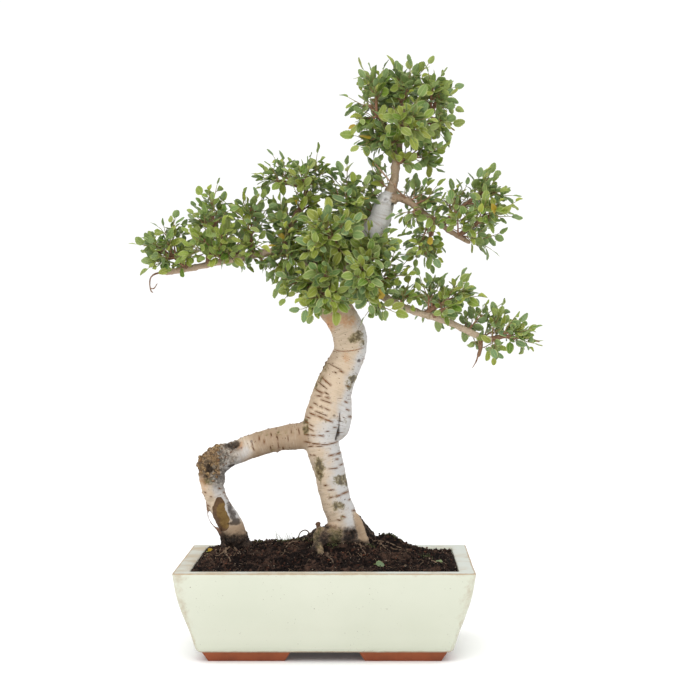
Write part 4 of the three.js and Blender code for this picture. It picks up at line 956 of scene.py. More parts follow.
def leaf_finish(settings, name="elm_leaf", faded=0):
    """Glossy green blade with pale veins and margin, dull and bluish below."""
    finish = Finish(name, Roughness=0.37, IOR=1.45, Specular_IOR_Level=0.48)
    along, across, side = finish.parts(finish.note("leaf_place"))
    hue, youth, turning = finish.parts(finish.note("leaf_tint"))
    blue, edging, _ = finish.parts(finish.note("leaf_look"))
    place = finish.place()
    patch = finish.noise(place, 260, 3)
    tone = finish.plus(hue, finish.spread(patch, 0.5))
    green = finish.mix(finish.ramp(tone, 0, 1), settings.deep, tuple(c * 0.62 for c in settings.fresh))
    green = finish.mix(finish.times(blue, 0.85), green, settings.bluish)
    green = finish.mix(youth, green, settings.fresh)
    reach = finish.sum("ABSOLUTE", across)
    chevron = finish.minus(finish.times(along, 8.0), finish.times(reach, 1.7))
    wave = finish.sum("ABSOLUTE", finish.minus(finish.sum("FRACT", chevron), 0.5))
    side_vein = finish.ramp(wave, 0.1, 0.02)
    side_vein = finish.times(side_vein, finish.ramp(reach, 1.0, 0.6))
    rib = finish.ramp(reach, 0.1, 0.03)
    vein = finish.sum("MAXIMUM", finish.times(side_vein, 0.14), finish.times(rib, 0.4))
    rim = finish.times(finish.ramp(reach, 0.61, 0.95), finish.times(edging, 0.88))
    pale = finish.sum("MAXIMUM", vein, rim)
    upper = finish.mix(pale, green, settings.margin)
    below = finish.mix(finish.times(pale, 0.7), settings.under, settings.margin)
    below = finish.mix(finish.times(youth, 0.6), below, settings.fresh)
    body = finish.mix(finish.ramp(side, 0.45, 0.55), below, upper)
    body = finish.mix(turning, body, settings.yellow)
    if faded:
        body = finish.mix(faded, body, (0.055, 0.095, 0.06))
    height = finish.minus(0.0, finish.sum("MAXIMUM", side_vein, rib))
    normal = finish.bump(height, 0.12, 0.7)
    finish.show(Base_Color=body, Normal=normal)
    clear = finish.add("BsdfTranslucent", {"Color": finish.mix(0.5, body, settings.fresh), "Normal": normal})
    blend = finish.add("MixShader", {0: 0.22, 1: finish.surface.outputs[0], 2: clear.outputs[0]})
    output = finish.tree.nodes["Material Output"]
    finish.tree.links.new(blend.outputs[0], output.inputs["Surface"])
    return finish.material


def half_sides(inset):
    """Half length and half width of an outline that lies inset within the rim's."""
    return np.array([POT_LENGTH / 2 - inset, POT_WIDTH / 2 - inset])


def rounded_ring(inset, corner, z):
    """Corners of a rounded rectangle that lies inset within the rim's outline."""
    half_x, half_y = half_sides(inset)
    ring = []
    for sign_x, sign_y, start in ((1, 1, 0), (-1, 1, 90), (-1, -1, 180), (1, -1, 270)):
        for i in range(CORNER_STEPS + 1):
            angle = math.radians(start + 90 * i / CORNER_STEPS)
            ring.append([sign_x * (half_x - corner) + corner * math.cos(angle),
                sign_y * (half_y - corner) + corner * math.sin(angle), z])
    return with_side_points(np.array(ring), CORNER_STEPS + 1)


def with_side_points(ring, group):
    """The ring with evenly spaced points added along its four straight sides."""
    rows = []
    for k in range(4):
        rows.append(ring[k * group:(k + 1) * group])
        start = ring[(k + 1) * group - 1]
        end = ring[((k + 1) * group) % len(ring)]
        between = SIDE_STEPS[k % 2]
        shares = np.arange(1, between)[:, None] / between
        rows.append(start + (end - start) * shares)
    return np.concatenate(rows)


def pot_inside_inset(z):
    """How far the inner wall lies within the rim's outline at a height."""
    return RIM_WIDTH + (FLOOR_INSET - RIM_WIDTH) * (POT_HEIGHT - z) / (POT_HEIGHT - POT_FLOOR)


def pot_rings():
    """Rings of the glazed body from the middle of its underside over the rim to the inner floor."""
    shape = [[inset, 0, z, 0] for z, inset in POT_TAPER]
    wall = stem_points(shape, np.linspace(0, 1, 36) ** 1.35)
    base = wall[0][0]
    rings = []
    for inset in (60, 40, base + 6, base + 2, base + 0.9):
        rings.append((inset, 2, FOOT_HEIGHT, 0, 0))
    rings.append((base + 0.25, OUTER_CORNER, FOOT_HEIGHT + 0.25, 0.6, 1))
    for inset, _, z in wall:
        worn = 0.85 * ease(z, 10.6, 9.2) + 0.4 * ease(z, 77.5, 79)
        swell = 1.1 * float(ease(z, 24, 72))
        rings.append((inset - swell, OUTER_CORNER, z, worn, float(ease(z, 24, 10))))
    for inset, z, worn in RIM_PROFILE:
        rings.append((inset, OUTER_CORNER, z, worn, 0))
    for z in (74, 66, 54, 42, 30, 22, POT_FLOOR + 1):
        rings.append((pot_inside_inset(z), INNER_CORNER, z, 0, 0))
    for inset in (FLOOR_INSET + 1.5, 40, 60):
        rings.append((inset, 2, POT_FLOOR, 0, 0))
    return rings


def build_pot(settings):
    """The glazed body with its rim, hollow and drain holes, and the four bare feet under it."""
    heap = Heap()
    rings = pot_rings()
    corners = np.concatenate([rounded_ring(inset, corner, z) for inset, corner, z, _, _ in rings])
    around = len(corners) // len(rings)
    centre = np.array([[0, 0, FOOT_HEIGHT], [0, 0, POT_FLOOR]], float)
    first = len(corners)
    fan = [[first, (i + 1) % around, i] for i in range(around)]
    top = (len(rings) - 1) * around
    fan += [[first + 1, top + i, top + (i + 1) % around] for i in range(around)]
    faces = [f for group in ring_faces(len(rings), around) for f in group.tolist()] + fan
    whole = np.concatenate([corners, centre])
    outward = unit(whole * [1 / POT_LENGTH, 1 / POT_WIDTH, 0])
    outer = ease(whole[:, 2], 9, 20)
    whole = whole + outward * (grain(whole, 70, seed=3) * 0.35 * outer)[:, None]
    worn = np.repeat([ring[3] for ring in rings], around)
    low = np.repeat([ring[4] for ring in rings], around)
    arris = corner_wear(corners)
    notes = np.zeros((len(whole), 3))
    notes[:first, 0] = np.maximum(worn, arris * ease(corners[:, 2], 8, 12))
    notes[:first, 1] = low
    notes[:, 2] = whole[:, 2] < FOOT_HEIGHT + 0.1
    cut, cut_faces = drill_drains(whole, faces)
    heap.add(cut, [])
    heap.faces = cut_faces
    heap.kinds = [0] * len(cut_faces)
    nearest = nearest_rows(cut, whole)
    heap.notes["glaze_thin"] = [notes[nearest]]
    glaze = glaze_finish(settings)
    clay = clay_finish(settings)
    make_piece("glazed_body", heap, [glaze], ["pot"], crease=math.radians(38))
    make_piece("pot_feet", foot_heap(), [clay], ["pot"], crease=math.radians(35))


def corner_wear(points):
    """A little wear on the upright corners of the outside."""
    inset = np.interp(points[:, 2], [p[0] for p in POT_TAPER], [p[1] for p in POT_TAPER])
    half_x, half_y = half_sides(inset)
    from_x = half_x - np.abs(points[:, 0])
    from_y = half_y - np.abs(points[:, 1])
    return 0.55 * ease(from_x + from_y, 5, 2.5) * (points[:, 2] < POT_HEIGHT)


def drill_drains(corners, faces):
    """The body with its two drain holes cut through the floor."""
    cutters = []
    for sign in (-1, 1):
        line = np.array([[sign * DRAIN_X, 0, 0], [sign * DRAIN_X, 0, POT_FLOOR * 2]], float)
        spots, groups = tube(line, [DRAIN_RADIUS, DRAIN_RADIUS], 32)
        mesh = bpy.data.meshes.new("drill")
        mesh.from_pydata(spots.tolist(), [], [f for g in groups for f in g.tolist()])
        cutters.append(linked("drill", mesh))
    cuts = [("BOOLEAN", {"operation": "DIFFERENCE", "solver": "EXACT", "object": drill}) for drill in cutters]
    cut, cut_faces, _ = modified(corners, faces, cuts)
    for drill in cutters:
        bpy.data.objects.remove(drill)
    return cut, cut_faces


def nearest_rows(points, others):
    """For each point, the row of the nearest of the others."""
    rows = []
    others = np.asarray(others, np.float32)
    for part in np.array_split(np.asarray(points, np.float32), max(1, len(points) // 1500)):
        distance = ((part[:, None] - others[None]) ** 2).sum(-1)
        rows.append(distance.argmin(1))
    return np.concatenate(rows)


def foot_heap():
    """Four corner feet, each an angle of clay that leans in towards the table."""
    heap = Heap()
    outline = np.array([[0, 0], [-FOOT_LENGTH, 0], [-FOOT_LENGTH, -FOOT_RAIL], [-FOOT_RAIL, -FOOT_RAIL],
        [-FOOT_RAIL, -FOOT_RETURN], [0, -FOOT_RETURN]], float)
    for sign_x, sign_y in ((1, 1), (-1, 1), (-1, -1), (1, -1)):
        rings = []
        for z in (0, FOOT_HEIGHT + 0.6):
            lean = FOOT_SLANT * (z / FOOT_HEIGHT - 1)
            ring = outline.copy()
            ring[:, 0] += np.where(ring[:, 0] < -FOOT_RAIL, -lean, lean)
            ring[:, 1] += np.where(ring[:, 1] < -FOOT_RAIL, -lean, lean)
            ring += [POT_LENGTH / 2 - FOOT_INSET[0], POT_WIDTH / 2 - FOOT_INSET[1]]
            rings.append(np.column_stack([ring * [sign_x, sign_y], np.full(len(ring), z)]))
        corners = np.concatenate(rings)
        n = len(outline)
        faces = [[i, (i + 1) % n, (i + 1) % n + n, i + n] for i in range(n)]
        faces += [list(range(n))[::-1], [i + n for i in range(n)]]
        if sign_x * sign_y > 0:
            faces = [f[::-1] for f in faces]
        bevel = ("BEVEL", {"width": FOOT_BEVEL, "segments": 3, "limit_method": "ANGLE"})
        fine = ("SUBSURF", {"levels": 1, "subdivision_type": "SIMPLE"})
        spots, shaped, normals = modified(corners, faces, [bevel, fine])
        spots += normals * (grain(spots, 6, seed=sign_x + 2 * sign_y) * 0.12)[:, None]
        spots[:, 2] = np.maximum(spots[:, 2], 0)
        heap.faces += [[i + heap.count for i in face] for face in shaped]
        heap.kinds += [0] * len(shaped)
        heap.add(spots, [])
    return heap


def soil_half_sides(gap):
    """Half sides of the soil at its edge, with a gap to the pot's wall."""
    return half_sides(pot_inside_inset(SOIL_EDGE) + gap)


def soil_height(x, y):
    """Height of the soil's surface, without its lumps."""
    height = np.full(np.shape(x), float(SOIL_EDGE))
    for bank_x, bank_y, rise, reach_x, reach_y in SOIL_BANKS:
        height = height + rise * np.exp(-(((x - bank_x) / reach_x) ** 2) - ((y - bank_y) / reach_y) ** 2)
    return height


def soil_lumps(points):
    """Clods, crumbs and fibres of the soil's surface, as a height over its plain shape."""
    flat = np.column_stack([points[:, 0], points[:, 1], np.zeros(len(points))])
    lumps = grain(flat, 22, octaves=2, seed=5) * 2.2 + np.abs(grain(flat, 6, octaves=3, seed=9)) * 3.4
    return lumps + grain(flat, 2.2, octaves=3, seed=14) * 1.5 - 1.0


def soil_edge_share(points):
    """0 at the pot's wall and 1 from a few millimetres inside it."""
    half_x, half_y = soil_half_sides(SOIL_GAP)
    from_x = half_x - np.abs(points[:, 0])
    from_y = half_y - np.abs(points[:, 1])
    return ease(np.minimum(from_x, from_y), 0, 8)


def soil_surface_z(points):
    """Height of the dressed soil at each point; at the wall it stays below the rim."""
    points = np.asarray(points, float)
    share = soil_edge_share(points)
    lumps = soil_lumps(points)
    free = soil_height(points[:, 0], points[:, 1]) + lumps
    held = np.minimum(free, SOIL_AT_WALL + 0.3 * lumps)
    return free * share + held * (1 - share)


def build_soil(settings):
    """A closed block of soil with a lumpy surface."""
    half_x, half_y = soil_half_sides(SOIL_GAP)
    step = SOIL_STEP
    xs = np.linspace(-half_x, half_x, int(2 * half_x / step))
    ys = np.linspace(-half_y, half_y, int(2 * half_y / step))
    grid_x, grid_y = np.meshgrid(xs, ys)
    flat = np.column_stack([grid_x.ravel(), grid_y.ravel()])
    top = np.column_stack([flat, soil_surface_z(flat)])
    columns = len(xs)
    rows = len(ys)
    index = np.arange(rows * columns).reshape(rows, columns)
    quads = np.stack([index[:-1, :-1], index[:-1, 1:], index[1:, 1:], index[1:, :-1]], -1).reshape(-1, 4)
    rim = np.concatenate([index[0, :-1], index[:-1, -1], index[-1, :0:-1], index[:0:-1, 0]])
    skirt = []
    for z in SOIL_RINGS:
        ring = top[rim].copy()
        shrink = pot_inside_inset(z) - pot_inside_inset(SOIL_EDGE)
        ring[:, 0] *= (half_x - shrink) / half_x
        ring[:, 1] *= (half_y - shrink) / half_y
        ring[:, 2] = z
        skirt.append(ring)
    n = len(rim)
    first = len(top)
    around = np.arange(n)
    following = (around + 1) % n
    wall = [np.column_stack([rim[following], rim, first + around, first + following]),
        np.column_stack([first + following, first + around, first + n + around, first + n + following])]
    bottom = [(first + n + around)[::-1].tolist()]
    heap = Heap()
    corners = np.concatenate([top, *skirt])
    tone = grain(corners, 5, octaves=3, seed=21)
    red = ease(grain(corners, 3.2, octaves=2, seed=33), 0.45, 0.75)
    height = soil_lumps(corners) * 0.16
    notes = np.column_stack([0.3 + tone * 0.5 + height, red * 0.6, 0 * red])
    heap.add(corners, [quads, *wall], soil_tone=notes)
    heap.faces += bottom
    heap.kinds += [0]
    make_piece("soil_surface", heap, [soil_finish(settings)], ["soil"])


def scatter(count, seed, spread=0.97):
    """Random places on the soil, away from the trunk and the propped stem."""
    places = np.random.default_rng(seed).uniform(-1, 1, (count * 2, 2))
    places = places * soil_half_sides(LOOSE_GAP) * spread
    for x, y, radius in (TRUNK_FOOT, PROP_FOOT):
        places = places[np.hypot(places[:, 0] - x, places[:, 1] - y) > radius]
    places = places[:count]
    return np.column_stack([places, soil_surface_z(places)])


def on_soil(x, y, above):
    """The place so far above the soil at [x, y]."""
    return np.array([x, y, soil_surface_z([[x, y]])[0] + above])


def lump_pattern():
    """Corners and faces of a twenty-sided lump."""
    golden = (1 + 5**0.5) / 2
    corners = []
    for a in (-1, 1):
        for b in (-golden, golden):
            corners += [[0, a, b], [a, b, 0], [b, 0, a]]
    corners = unit(np.array(corners, float))
    near = np.linalg.norm(corners[:, None] - corners[None], axis=-1) < 1.2
    faces = []
    for i in range(12):
        for j in range(i + 1, 12):
            for k in range(j + 1, 12):
                if near[i, j] and near[j, k] and near[i, k]:
                    outward = np.cross(corners[j] - corners[i], corners[k] - corners[i]) @ corners[i] > 0
                    faces.append([i, j, k] if outward else [i, k, j])
    return corners, np.array(faces)


def build_crumbs(settings):
    """Loose crumbs, bits of bark and grit on the soil."""
    chance = np.random.default_rng(11)
    count = settings.crumbs // 1
    places = scatter(count, 12, 1.0)
    pattern, faces = lump_pattern()
    heap = Heap()
    for place in places:
        size = 0.32 + 0.95 * chance.random() ** 2.5
        shape = chance.uniform(0.55, 1.35, 3)
        rough = pattern * chance.uniform(0.72, 1.2, (len(pattern), 1))
        turn = chance.normal(size=(3, 3))
        axes = np.linalg.qr(turn)[0]
        spots = (rough * shape * size) @ axes * [1, 1, 0.8]
        tone = chance.random() ** 1.6
        if size < 0.7 and chance.random() < 0.2:
            tone = chance.uniform(1.4, 2.1)
        red = 0.9 if chance.random() < 0.06 else 0.0
        heap.add(spots + place + [0, 0, size * 0.25], [faces], soil_tone=[tone, red, 0])
    make_piece("soil_crumbs", heap, [soil_finish(settings)], crease=math.radians(25))


def strand(start, heading, reach, radius, chance):
    """A thin curved strand that lies on the soil, as a line and its radii."""
    steps = 7
    turn = chance.normal(0, 0.35)
    spots = [np.array(start[:2], float)]
    for _ in range(steps - 1):
        heading += turn + chance.normal(0, 0.2)
        spots.append(spots[-1] + np.array([math.cos(heading), math.sin(heading)]) * reach / steps)
    limit = soil_half_sides(LOOSE_GAP)
    flat = np.clip(np.array(spots), -limit, limit)
    flat[1:] += np.arange(1, steps)[:, None] * 0.02
    line = np.column_stack([flat, soil_surface_z(flat)])
    line[:, 2] += radius + 0.4 * np.sin(np.linspace(0, math.pi, steps)) * chance.uniform(0, 3)
    return line, radius * np.linspace(1, 0.45, steps)


def build_fibres(settings):
    """Fine roots and fibres that lie on the soil."""
    chance = np.random.default_rng(31)
    count = settings.fibres // 1
    heap = Heap()
    for place in scatter(count, 32):
        pale = chance.random() < 0.3
        radius = chance.uniform(0.1, 0.24)
        heading = chance.uniform(0, 2 * math.pi)
        corners, faces = tube(*strand(place, heading, chance.uniform(4, 16), radius, chance), 4)
        heap.add(corners, faces, soil_tone=[chance.uniform(0.5, 1) if pale else chance.uniform(0, 0.3), 0, 0])
    for *path, radius in SURFACE_ROOTS:
        bent = stem_points([[x, y, 0, radius] for x, y in path], np.linspace(0, 1, 7))
        bent[1:-1, :2] += chance.normal(0, 0.9, (5, 2))
        flat = stem_points([[x, y, 0, radius] for x, y, _ in bent], np.linspace(0, 1, 30))
        height = soil_surface_z(flat)
        padded = np.concatenate([height[:1], height[:1], height, height[-1:], height[-1:]])
        flat[:, 2] = np.convolve(padded, np.ones(5) / 5, "valid") + radius * 0.15
        radii = radius * np.linspace(1.1, 0.5, 30) * chance.uniform(0.92, 1.08, 30)
        heap.add(*tube(flat, radii, 7), soil_tone=[chance.uniform(0.2, 0.6), 0, 0])
    shares = np.linspace(0, 1, 18)
    heap.add(*tube(stem_points(ROOT_ARCH, shares), stem_radii(ROOT_ARCH, shares), 6), soil_tone=[0.25, 0, 0])
    finish = plain_fibre_finish("root_fibre", (0.035, 0.018, 0.010), (0.30, 0.20, 0.12))
    make_piece("soil_fibres", heap, [finish])


def build_greenery():
    """Moss tufts in the hollows and a few hairs of grass."""
    chance = np.random.default_rng(41)
    heap = Heap()
    for x, y, reach_x, reach_y in GREEN_PATCHES:
        for _ in range(110):
            spot = on_soil(x + chance.normal() * reach_x * 0.5, y + chance.normal() * reach_y * 0.5, -0.4)
            blade(heap, spot, chance, chance.uniform(0.7, 1.7), 0.26, 0.6)
    for x, y in HAIR_GRASS:
        for _ in range(5):
            spot = on_soil(x + chance.normal() * 1.6, y + chance.normal() * 2, -0.5)
            blade(heap, spot, chance, chance.uniform(5, 12), 0.17, 0.35)
    finish = plain_fibre_finish("moss_green", (0.030, 0.038, 0.010), (0.13, 0.15, 0.045))
    make_piece("moss_and_grass", heap, [finish])


def blade(heap, root, chance, height, radius, lean):
    """A thin pointed blade that stands on the soil."""
    tilt = chance.normal(0, lean, 2)
    shares = np.linspace(0, 1, 4)[:, None]
    line = root + np.array([0, 0, height]) * shares + np.array([*tilt, 0]) * height * shares**1.6
    corners, faces = tube(line, radius * np.array([1, 0.85, 0.55, 0.1]), 3)
    heap.add(corners, faces, soil_tone=[chance.random(), 0, 0])


class Stems:
    """Middle lines of all the wood, to say for any point which stem it belongs to and where."""

    def __init__(self, stems):
        spots, along, side, rise, travel, radii, kinds = [], [], [], [], [], [], []
        for kind, (points, spacing) in enumerate(stems):
            shares = even_shares(points, spacing, 6)
            line = stem_points(points, shares)
            frames = line_frames(line)
            steps = np.linalg.norm(np.diff(line, axis=0), axis=1)
            spots.append(line)
            along.append(frames[0])
            side.append(frames[1])
            rise.append(frames[2])
            travel.append(np.concatenate([[0], np.cumsum(steps)]) + kind * 500)
            radii.append(stem_radii(points, shares))
            kinds.append(np.full(len(shares), kind))
        self.spots, self.along, self.side, self.rise, self.travel, self.radii, self.kinds = (
            np.concatenate(rows) for rows in (spots, along, side, rise, travel, radii, kinds))

    def clearance(self, points):
        """Distance from each point to the nearest stem's surface."""
        distance = np.linalg.norm(points[:, None] - self.spots[None], axis=-1) - self.radii
        return distance.min(1)

    def locate(self, points):
        """Straightened place, stem radius, stem number and share to the right for each point."""
        places, radii, kinds, sidewise = [], [], [], []
        for part in np.array_split(points, max(1, len(points) // 1200)):
            distance = np.linalg.norm(
                part.astype(np.float32)[:, None] - self.spots.astype(np.float32)[None], axis=-1)
            row = (distance - self.radii.astype(np.float32)).argmin(1)
            offset = part - self.spots[row]
            aside = (offset * self.side[row]).sum(1)
            above = (offset * self.rise[row]).sum(1)
            ahead = (offset * self.along[row]).sum(1)
            reach = np.maximum(np.hypot(aside, above), 1e-6)
            radius = self.radii[row]
            places.append(np.column_stack([
                above / reach * radius, aside / reach * radius, self.travel[row] + ahead]))
            radii.append(radius)
            kinds.append(self.kinds[row])
            sidewise.append(offset[:, 0] / radius)
        return tuple(np.concatenate(rows) for rows in (places, radii, kinds, sidewise))


def mark_share(points, normals, marks, soft):
    """How strongly each point lies in one of the marks on the front."""
    share = np.zeros(len(points))
    front = ease(-normals[:, 1], -0.15, 0.3)
    for x, z, reach_x, reach_z, strength in marks:
        distance = np.hypot((points[:, 0] - x) / reach_x, (points[:, 2] - z) / reach_z)
        share = np.maximum(share, strength * ease(distance, 1 + soft * 0.35, 1 - soft * 0.35) * front)
    return share


def ring_share(points):
    """Faint dark ring scars right round the arm."""
    share = np.zeros(len(points))
    wander = grain(points, 6, octaves=2, seed=51) * 0.8
    for x, z, strength in ARM_RINGS:
        along = points[:, 0] - x + (points[:, 2] - z) * 0.32 + wander
        near = (np.abs(points[:, 2] - z) < 17) & (np.abs(points[:, 0] - x) < 12)
        patchy = 0.55 + 0.45 * grain(points, 9, octaves=1, seed=x)
        share = np.maximum(share, strength * patchy * ease(np.abs(along), 1.5, 0.4) * near)
    return share


def eye_relief(points):
    """Round lids about the dark middles of the old branch scars on the knob."""
    relief = np.zeros(len(points))
    for x, z in EYES:
        apart = np.hypot(points[:, 0] - x, (points[:, 2] - z) * 1.25)
        lid = np.exp(-(((apart - 2.7) / 0.8) ** 2)) - 1.3 * np.exp(-((apart / 1.5) ** 2))
        relief += lid * ease(-points[:, 1], 0, 4)
    return relief


def dash_share(points, normals):
    """How near each point in front is to one of the dashes, for the brown round them."""
    share = np.zeros(len(points))
    for number, (x, z, end_x, end_z) in enumerate(FRONT_DASHES):
        start = np.array([x, z], float)
        span = np.array([end_x, end_z]) - start
        offset = points[:, (0, 2)] - start
        along = np.clip(offset @ span / (span @ span), 0, 1)
        apart = np.linalg.norm(offset - along[:, None] * span, axis=1)
        share = np.maximum(share, (0.6 + 0.4 * draw(number)) * np.exp(-((apart / 1.5) ** 2)))
    return share * ease(-normals[:, 1], -0.1, 0.3)


def trunk_side(points):
    """How far right of the trunk's middle line each point lies, as a share of its radius."""
    rows = np.array(TRUNK[:15], float)
    middle = np.interp(points[:, 2], rows[:, 2], rows[:, 0])
    return (points[:, 0] - middle) / np.interp(points[:, 2], rows[:, 2], rows[:, 3])


def cleft_share(points, normals):
    """The fold between the trunk and the flap of wood on its right, which the skin sinks into and painted
    shade darkens.
    """
    cleft = np.array(CLEFT, float)
    middle = np.interp(points[:, 2], cleft[::-1, 1], cleft[::-1, 0])
    inside = ease(points[:, 2], 187, 190) * ease(points[:, 2], 217, 212)
    wide = 0.6 + 0.7 * ease(points[:, 2], 205, 190)
    return ease(np.abs(points[:, 0] - middle), wide * 1.5, wide * 0.4) * inside * ease(-normals[:, 1], 0, 0.4)


def wood_heap():
    """Overlapping closed stems that the remesh joins: trunk, prop, flap, roots and branch collars."""
    heap = Heap()
    for points, sides, spacing in ((TRUNK, 40, 3), (PROP, 32, 3), (FLAP, 32, 3)):
        add_stem(heap, points, sides, spacing)
    for points in ROOTS:
        add_stem(heap, points, 18, 3)
    add_stem(heap, AIR_ROOT, 12, 2)
    for name in COLLARS:
        add_stem(heap, LIMBS[name][:3], 20, 2.5)
    return heap


def add_stem(heap, points, sides, spacing):
    """A closed stem along its points."""
    shares = even_shares(points, spacing, 5)
    corners, faces = tube(stem_points(points, shares), stem_radii(points, shares), sides)
    heap.add(corners, faces)


def lump_heap(heap):
    """Rounded lumps at the elbow, the top knob and the foot of the trunk."""
    fine, order = fine_lump()
    for x, y, z, wide, deep, high in WOOD_LUMPS:
        heap.add(fine * [wide, deep, high] + [x, y, z], [order])


def wood_relief(points, place, cork, rings, cleft, dark, dirt):
    """How far the bark stands out or sinks in at each point in millimetres, and painted shade for the cork's
    crevices.
    """
    lumps = grain(points, 26, octaves=2, seed=61) * 0.9
    wrinkles = grain(place, 7, stretch=(3, 3, 0.7), octaves=3, seed=63) * 0.34
    fine = grain(place, 2.2, stretch=(1.6, 1.6, 0.8), octaves=3, seed=65) * 0.15
    knobs = grain(points, 6.5, octaves=3, seed=81)
    # Narrow crevices in the cork: sunk into the relief, and returned as painted shade
    crevice_and_painted_shade = np.exp(-((knobs / 0.11) ** 2)) * cork
    corky = (np.abs(knobs) * 3.0 + grain(points, 2.3, octaves=2, seed=83) * 0.7 - 1.2) * cork
    clods = (np.abs(grain(points, 5.5, octaves=2, seed=85)) * 2.2 - 0.6) * dirt
    relief = lumps + wrinkles + fine + corky - crevice_and_painted_shade * 1.3 + clods + eye_relief(points)
    return relief - rings * 0.4 - cleft * 1.9 - dark * (0.3 + cork), crevice_and_painted_shade * 0.8


def tone_notes(points, sidewise, kind, dirt):
    """Where the bark is cool or tan: paler on the right, as grey white bark and painted cool light, more
    brown on the left, as tan bark and painted shade at the left edge, and on the limbs.
    """
    z = points[:, 2]
    trunk = (kind == TRUNK_KIND) | (kind == FLAP_KIND)
    prop = kind == PROP_KIND
    arm = prop * ease(points[:, 0], -82, -70)
    side = np.where(trunk, trunk_side(points), sidewise)
    # Paler towards the trunk's right side, over its whole width low down: partly grey white bark, partly
    # painted cool light from the right
    low = ease(side, -0.7, 0.75) * ease(z, 225, 200)
    high = ease(side, 0.15, 1.0) * 0.85
    bare_patch = ease(np.hypot((points[:, 0] + 74) / 8, (z - 180.5) / 9), 1.5, 0.5)
    cool = trunk * np.maximum(np.maximum(low, high), ease(z, 372, 385))
    cool = cool + prop * (1 - arm) * ease(side, -0.3, 0.5) * ease(z, 108, 122) + 0.55 * arm * bare_patch
    tan = arm * (0.85 - 0.85 * bare_patch) + prop * (1 - arm) * (0.15 + 0.8 * ease(z, 116, 106))
    # More brown towards the trunk's left edge: partly tan bark, partly painted shade on that edge
    left = trunk * ease(side, -0.1, -0.95)
    tan = tan + left * (0.3 + 0.25 * ease(z, 200, 225) * ease(z, 275, 262))
    tan = tan + trunk * 0.55 * ease(z, 285, 312) * ease(z, 372, 350)
    tan = tan + trunk * 0.5 * ease(z, 114, 109)
    tan = np.where(kind >= PALE_ROOT, limb_share(kind, 2), tan)
    cool = np.where(kind >= PALE_ROOT, limb_share(kind, 1), cool)
    return np.column_stack([cool, tan, dirt])


def limb_share(kind, part):
    """One part of the limb tones for each stem number: roots come first, then the limbs."""
    shares = [0.0] * PALE_ROOT + [ROOT_TONE[part]] * (len(ROOTS) + 1)
    shares += [LIMB_TONES.get(name, PLAIN_LIMB)[part] for name in LIMBS]
    return np.array(shares)[kind]


def wood_notes(points, normals, stems):
    """Places, stains and tones of the bark at each point, some of them painted shade and painted cool light,
    and its relief.
    """
    place, radius, kind, sidewise = stems.locate(points)
    cork = np.clip(mark_share(points, normals * [1, 0, 1] - [0, 1, 0], CORK_MARKS, 1.6), 0, 1)
    rings = ring_share(points)
    cleft = cleft_share(points, normals)
    dark = np.clip(mark_share(points, normals, DARK_MARKS, 1.2), 0, 1)
    olive = mark_share(points, normals, OLIVE_MARKS, 1.6)
    back = ease(normals[:, 1], -0.1, 0.4)
    olive = np.maximum(olive, back * 0.8 * ease(grain(place, 14, octaves=2, seed=71), 0.25, 0.7))
    rust = mark_share(points, normals, RUST_MARKS, 1.8)
    moss = mark_share(points, normals, MOSS_MARKS, 1.8)
    flank = normals * [1, 0.2, 1] - [0, 0.4, 0]
    patch = mark_share(points, flank, PATCH, 0.6)
    golden = mark_share(points, flank, GOLDEN, 1)
    over_soil = points[:, 2] - soil_height(points[:, 0], points[:, 1])
    ragged = grain(points, 5, octaves=2, seed=73)
    dirt = ease(over_soil + ragged * 3, 6, 0.5)
    dirt = np.maximum(dirt, ((kind > PALE_ROOT) & (kind < THIN_ROOT)) * ease(points[:, 2], 117, 112) * 0.95)
    dirt = np.maximum(dirt, (kind == TRUNK_KIND) * ease(points[:, 2] + ragged * 1.6, 112.5, 107))
    dirt = np.maximum(dirt, (kind == PROP_KIND) * ease(points[:, 2] + ragged * 2, 110, 97))
    shaded = 0.3 * ease(grain(points, 4, octaves=2, seed=78), 0, 0.5)
    pale_dirt = np.maximum(ease(points[:, 2] + ragged * 2, 102, 94), shaded)
    dirt = np.where(kind == PALE_ROOT, pale_dirt, dirt)
    dirt = np.where(kind == DARK_ROOT, 0.95, dirt)
    mossy_root = (kind == MOSSY_ROOT) | (np.linalg.norm(points - MOSSY_KNOB, axis=1) < 9.5)
    dirt = np.where(mossy_root, 0.35 + 0.5 * ease(grain(points, 3, octaves=2, seed=76), -0.1, 0.4), dirt)
    moss = np.maximum(moss, mossy_root * ease(grain(points, 3, octaves=2, seed=77), -0.2, 0.5) * 0.75)
    olive = np.maximum(olive, mossy_root * 0.6)
    nub = kind == NUB
    dirt = np.where(nub, 0.6, dirt)
    thin_root = kind == THIN_ROOT
    dirt = np.where(thin_root, 0.3 + 0.6 * ease(points[:, 2], 112, 98), dirt)
    moss = np.maximum(moss, 0.6 * dirt * ease(grain(points, 6, octaves=2, seed=75), 0.1, 0.5))
    youth = np.where(thin_root | nub, 0.9, ease(radius, 7.5, 2.4) * limb_share(kind, 0))
    relief, crevice_and_painted_shade = wood_relief(points, place, cork, rings, cleft, dark, dirt)
    rust = np.maximum(rust, nub * 0.6)
    # The third share darkens the dark marks and ring scars on the bark, and holds painted shade in the cleft
    # and in the cork's crevices
    fold = np.clip(cleft * 1.1, 0, 1)
    stain = np.column_stack([cork, olive, np.clip(np.maximum.reduce([dark, rings, fold, crevice_and_painted_shade]), 0, 1)])
    wash = np.column_stack([np.clip(rust, 0, 1), moss, youth])
    notes = {"bark_place": place, "bark_stain": stain, "bark_wash": wash,
        "bark_tone": tone_notes(points, sidewise, kind, dirt),
        "bark_patch": np.column_stack([patch, golden, dash_share(points, normals)])}
    return notes, relief


def wood_stems():
    """All the wood's middle lines, for the bark's own coordinates; the flap's bark is the trunk's."""
    rows = [(points, STEM_SPACING) for points in (TRUNK, PROP, TRUNK)]
    return Stems(rows + [(points, THIN_SPACING) for points in (*ROOTS, AIR_ROOT, *LIMBS.values())])


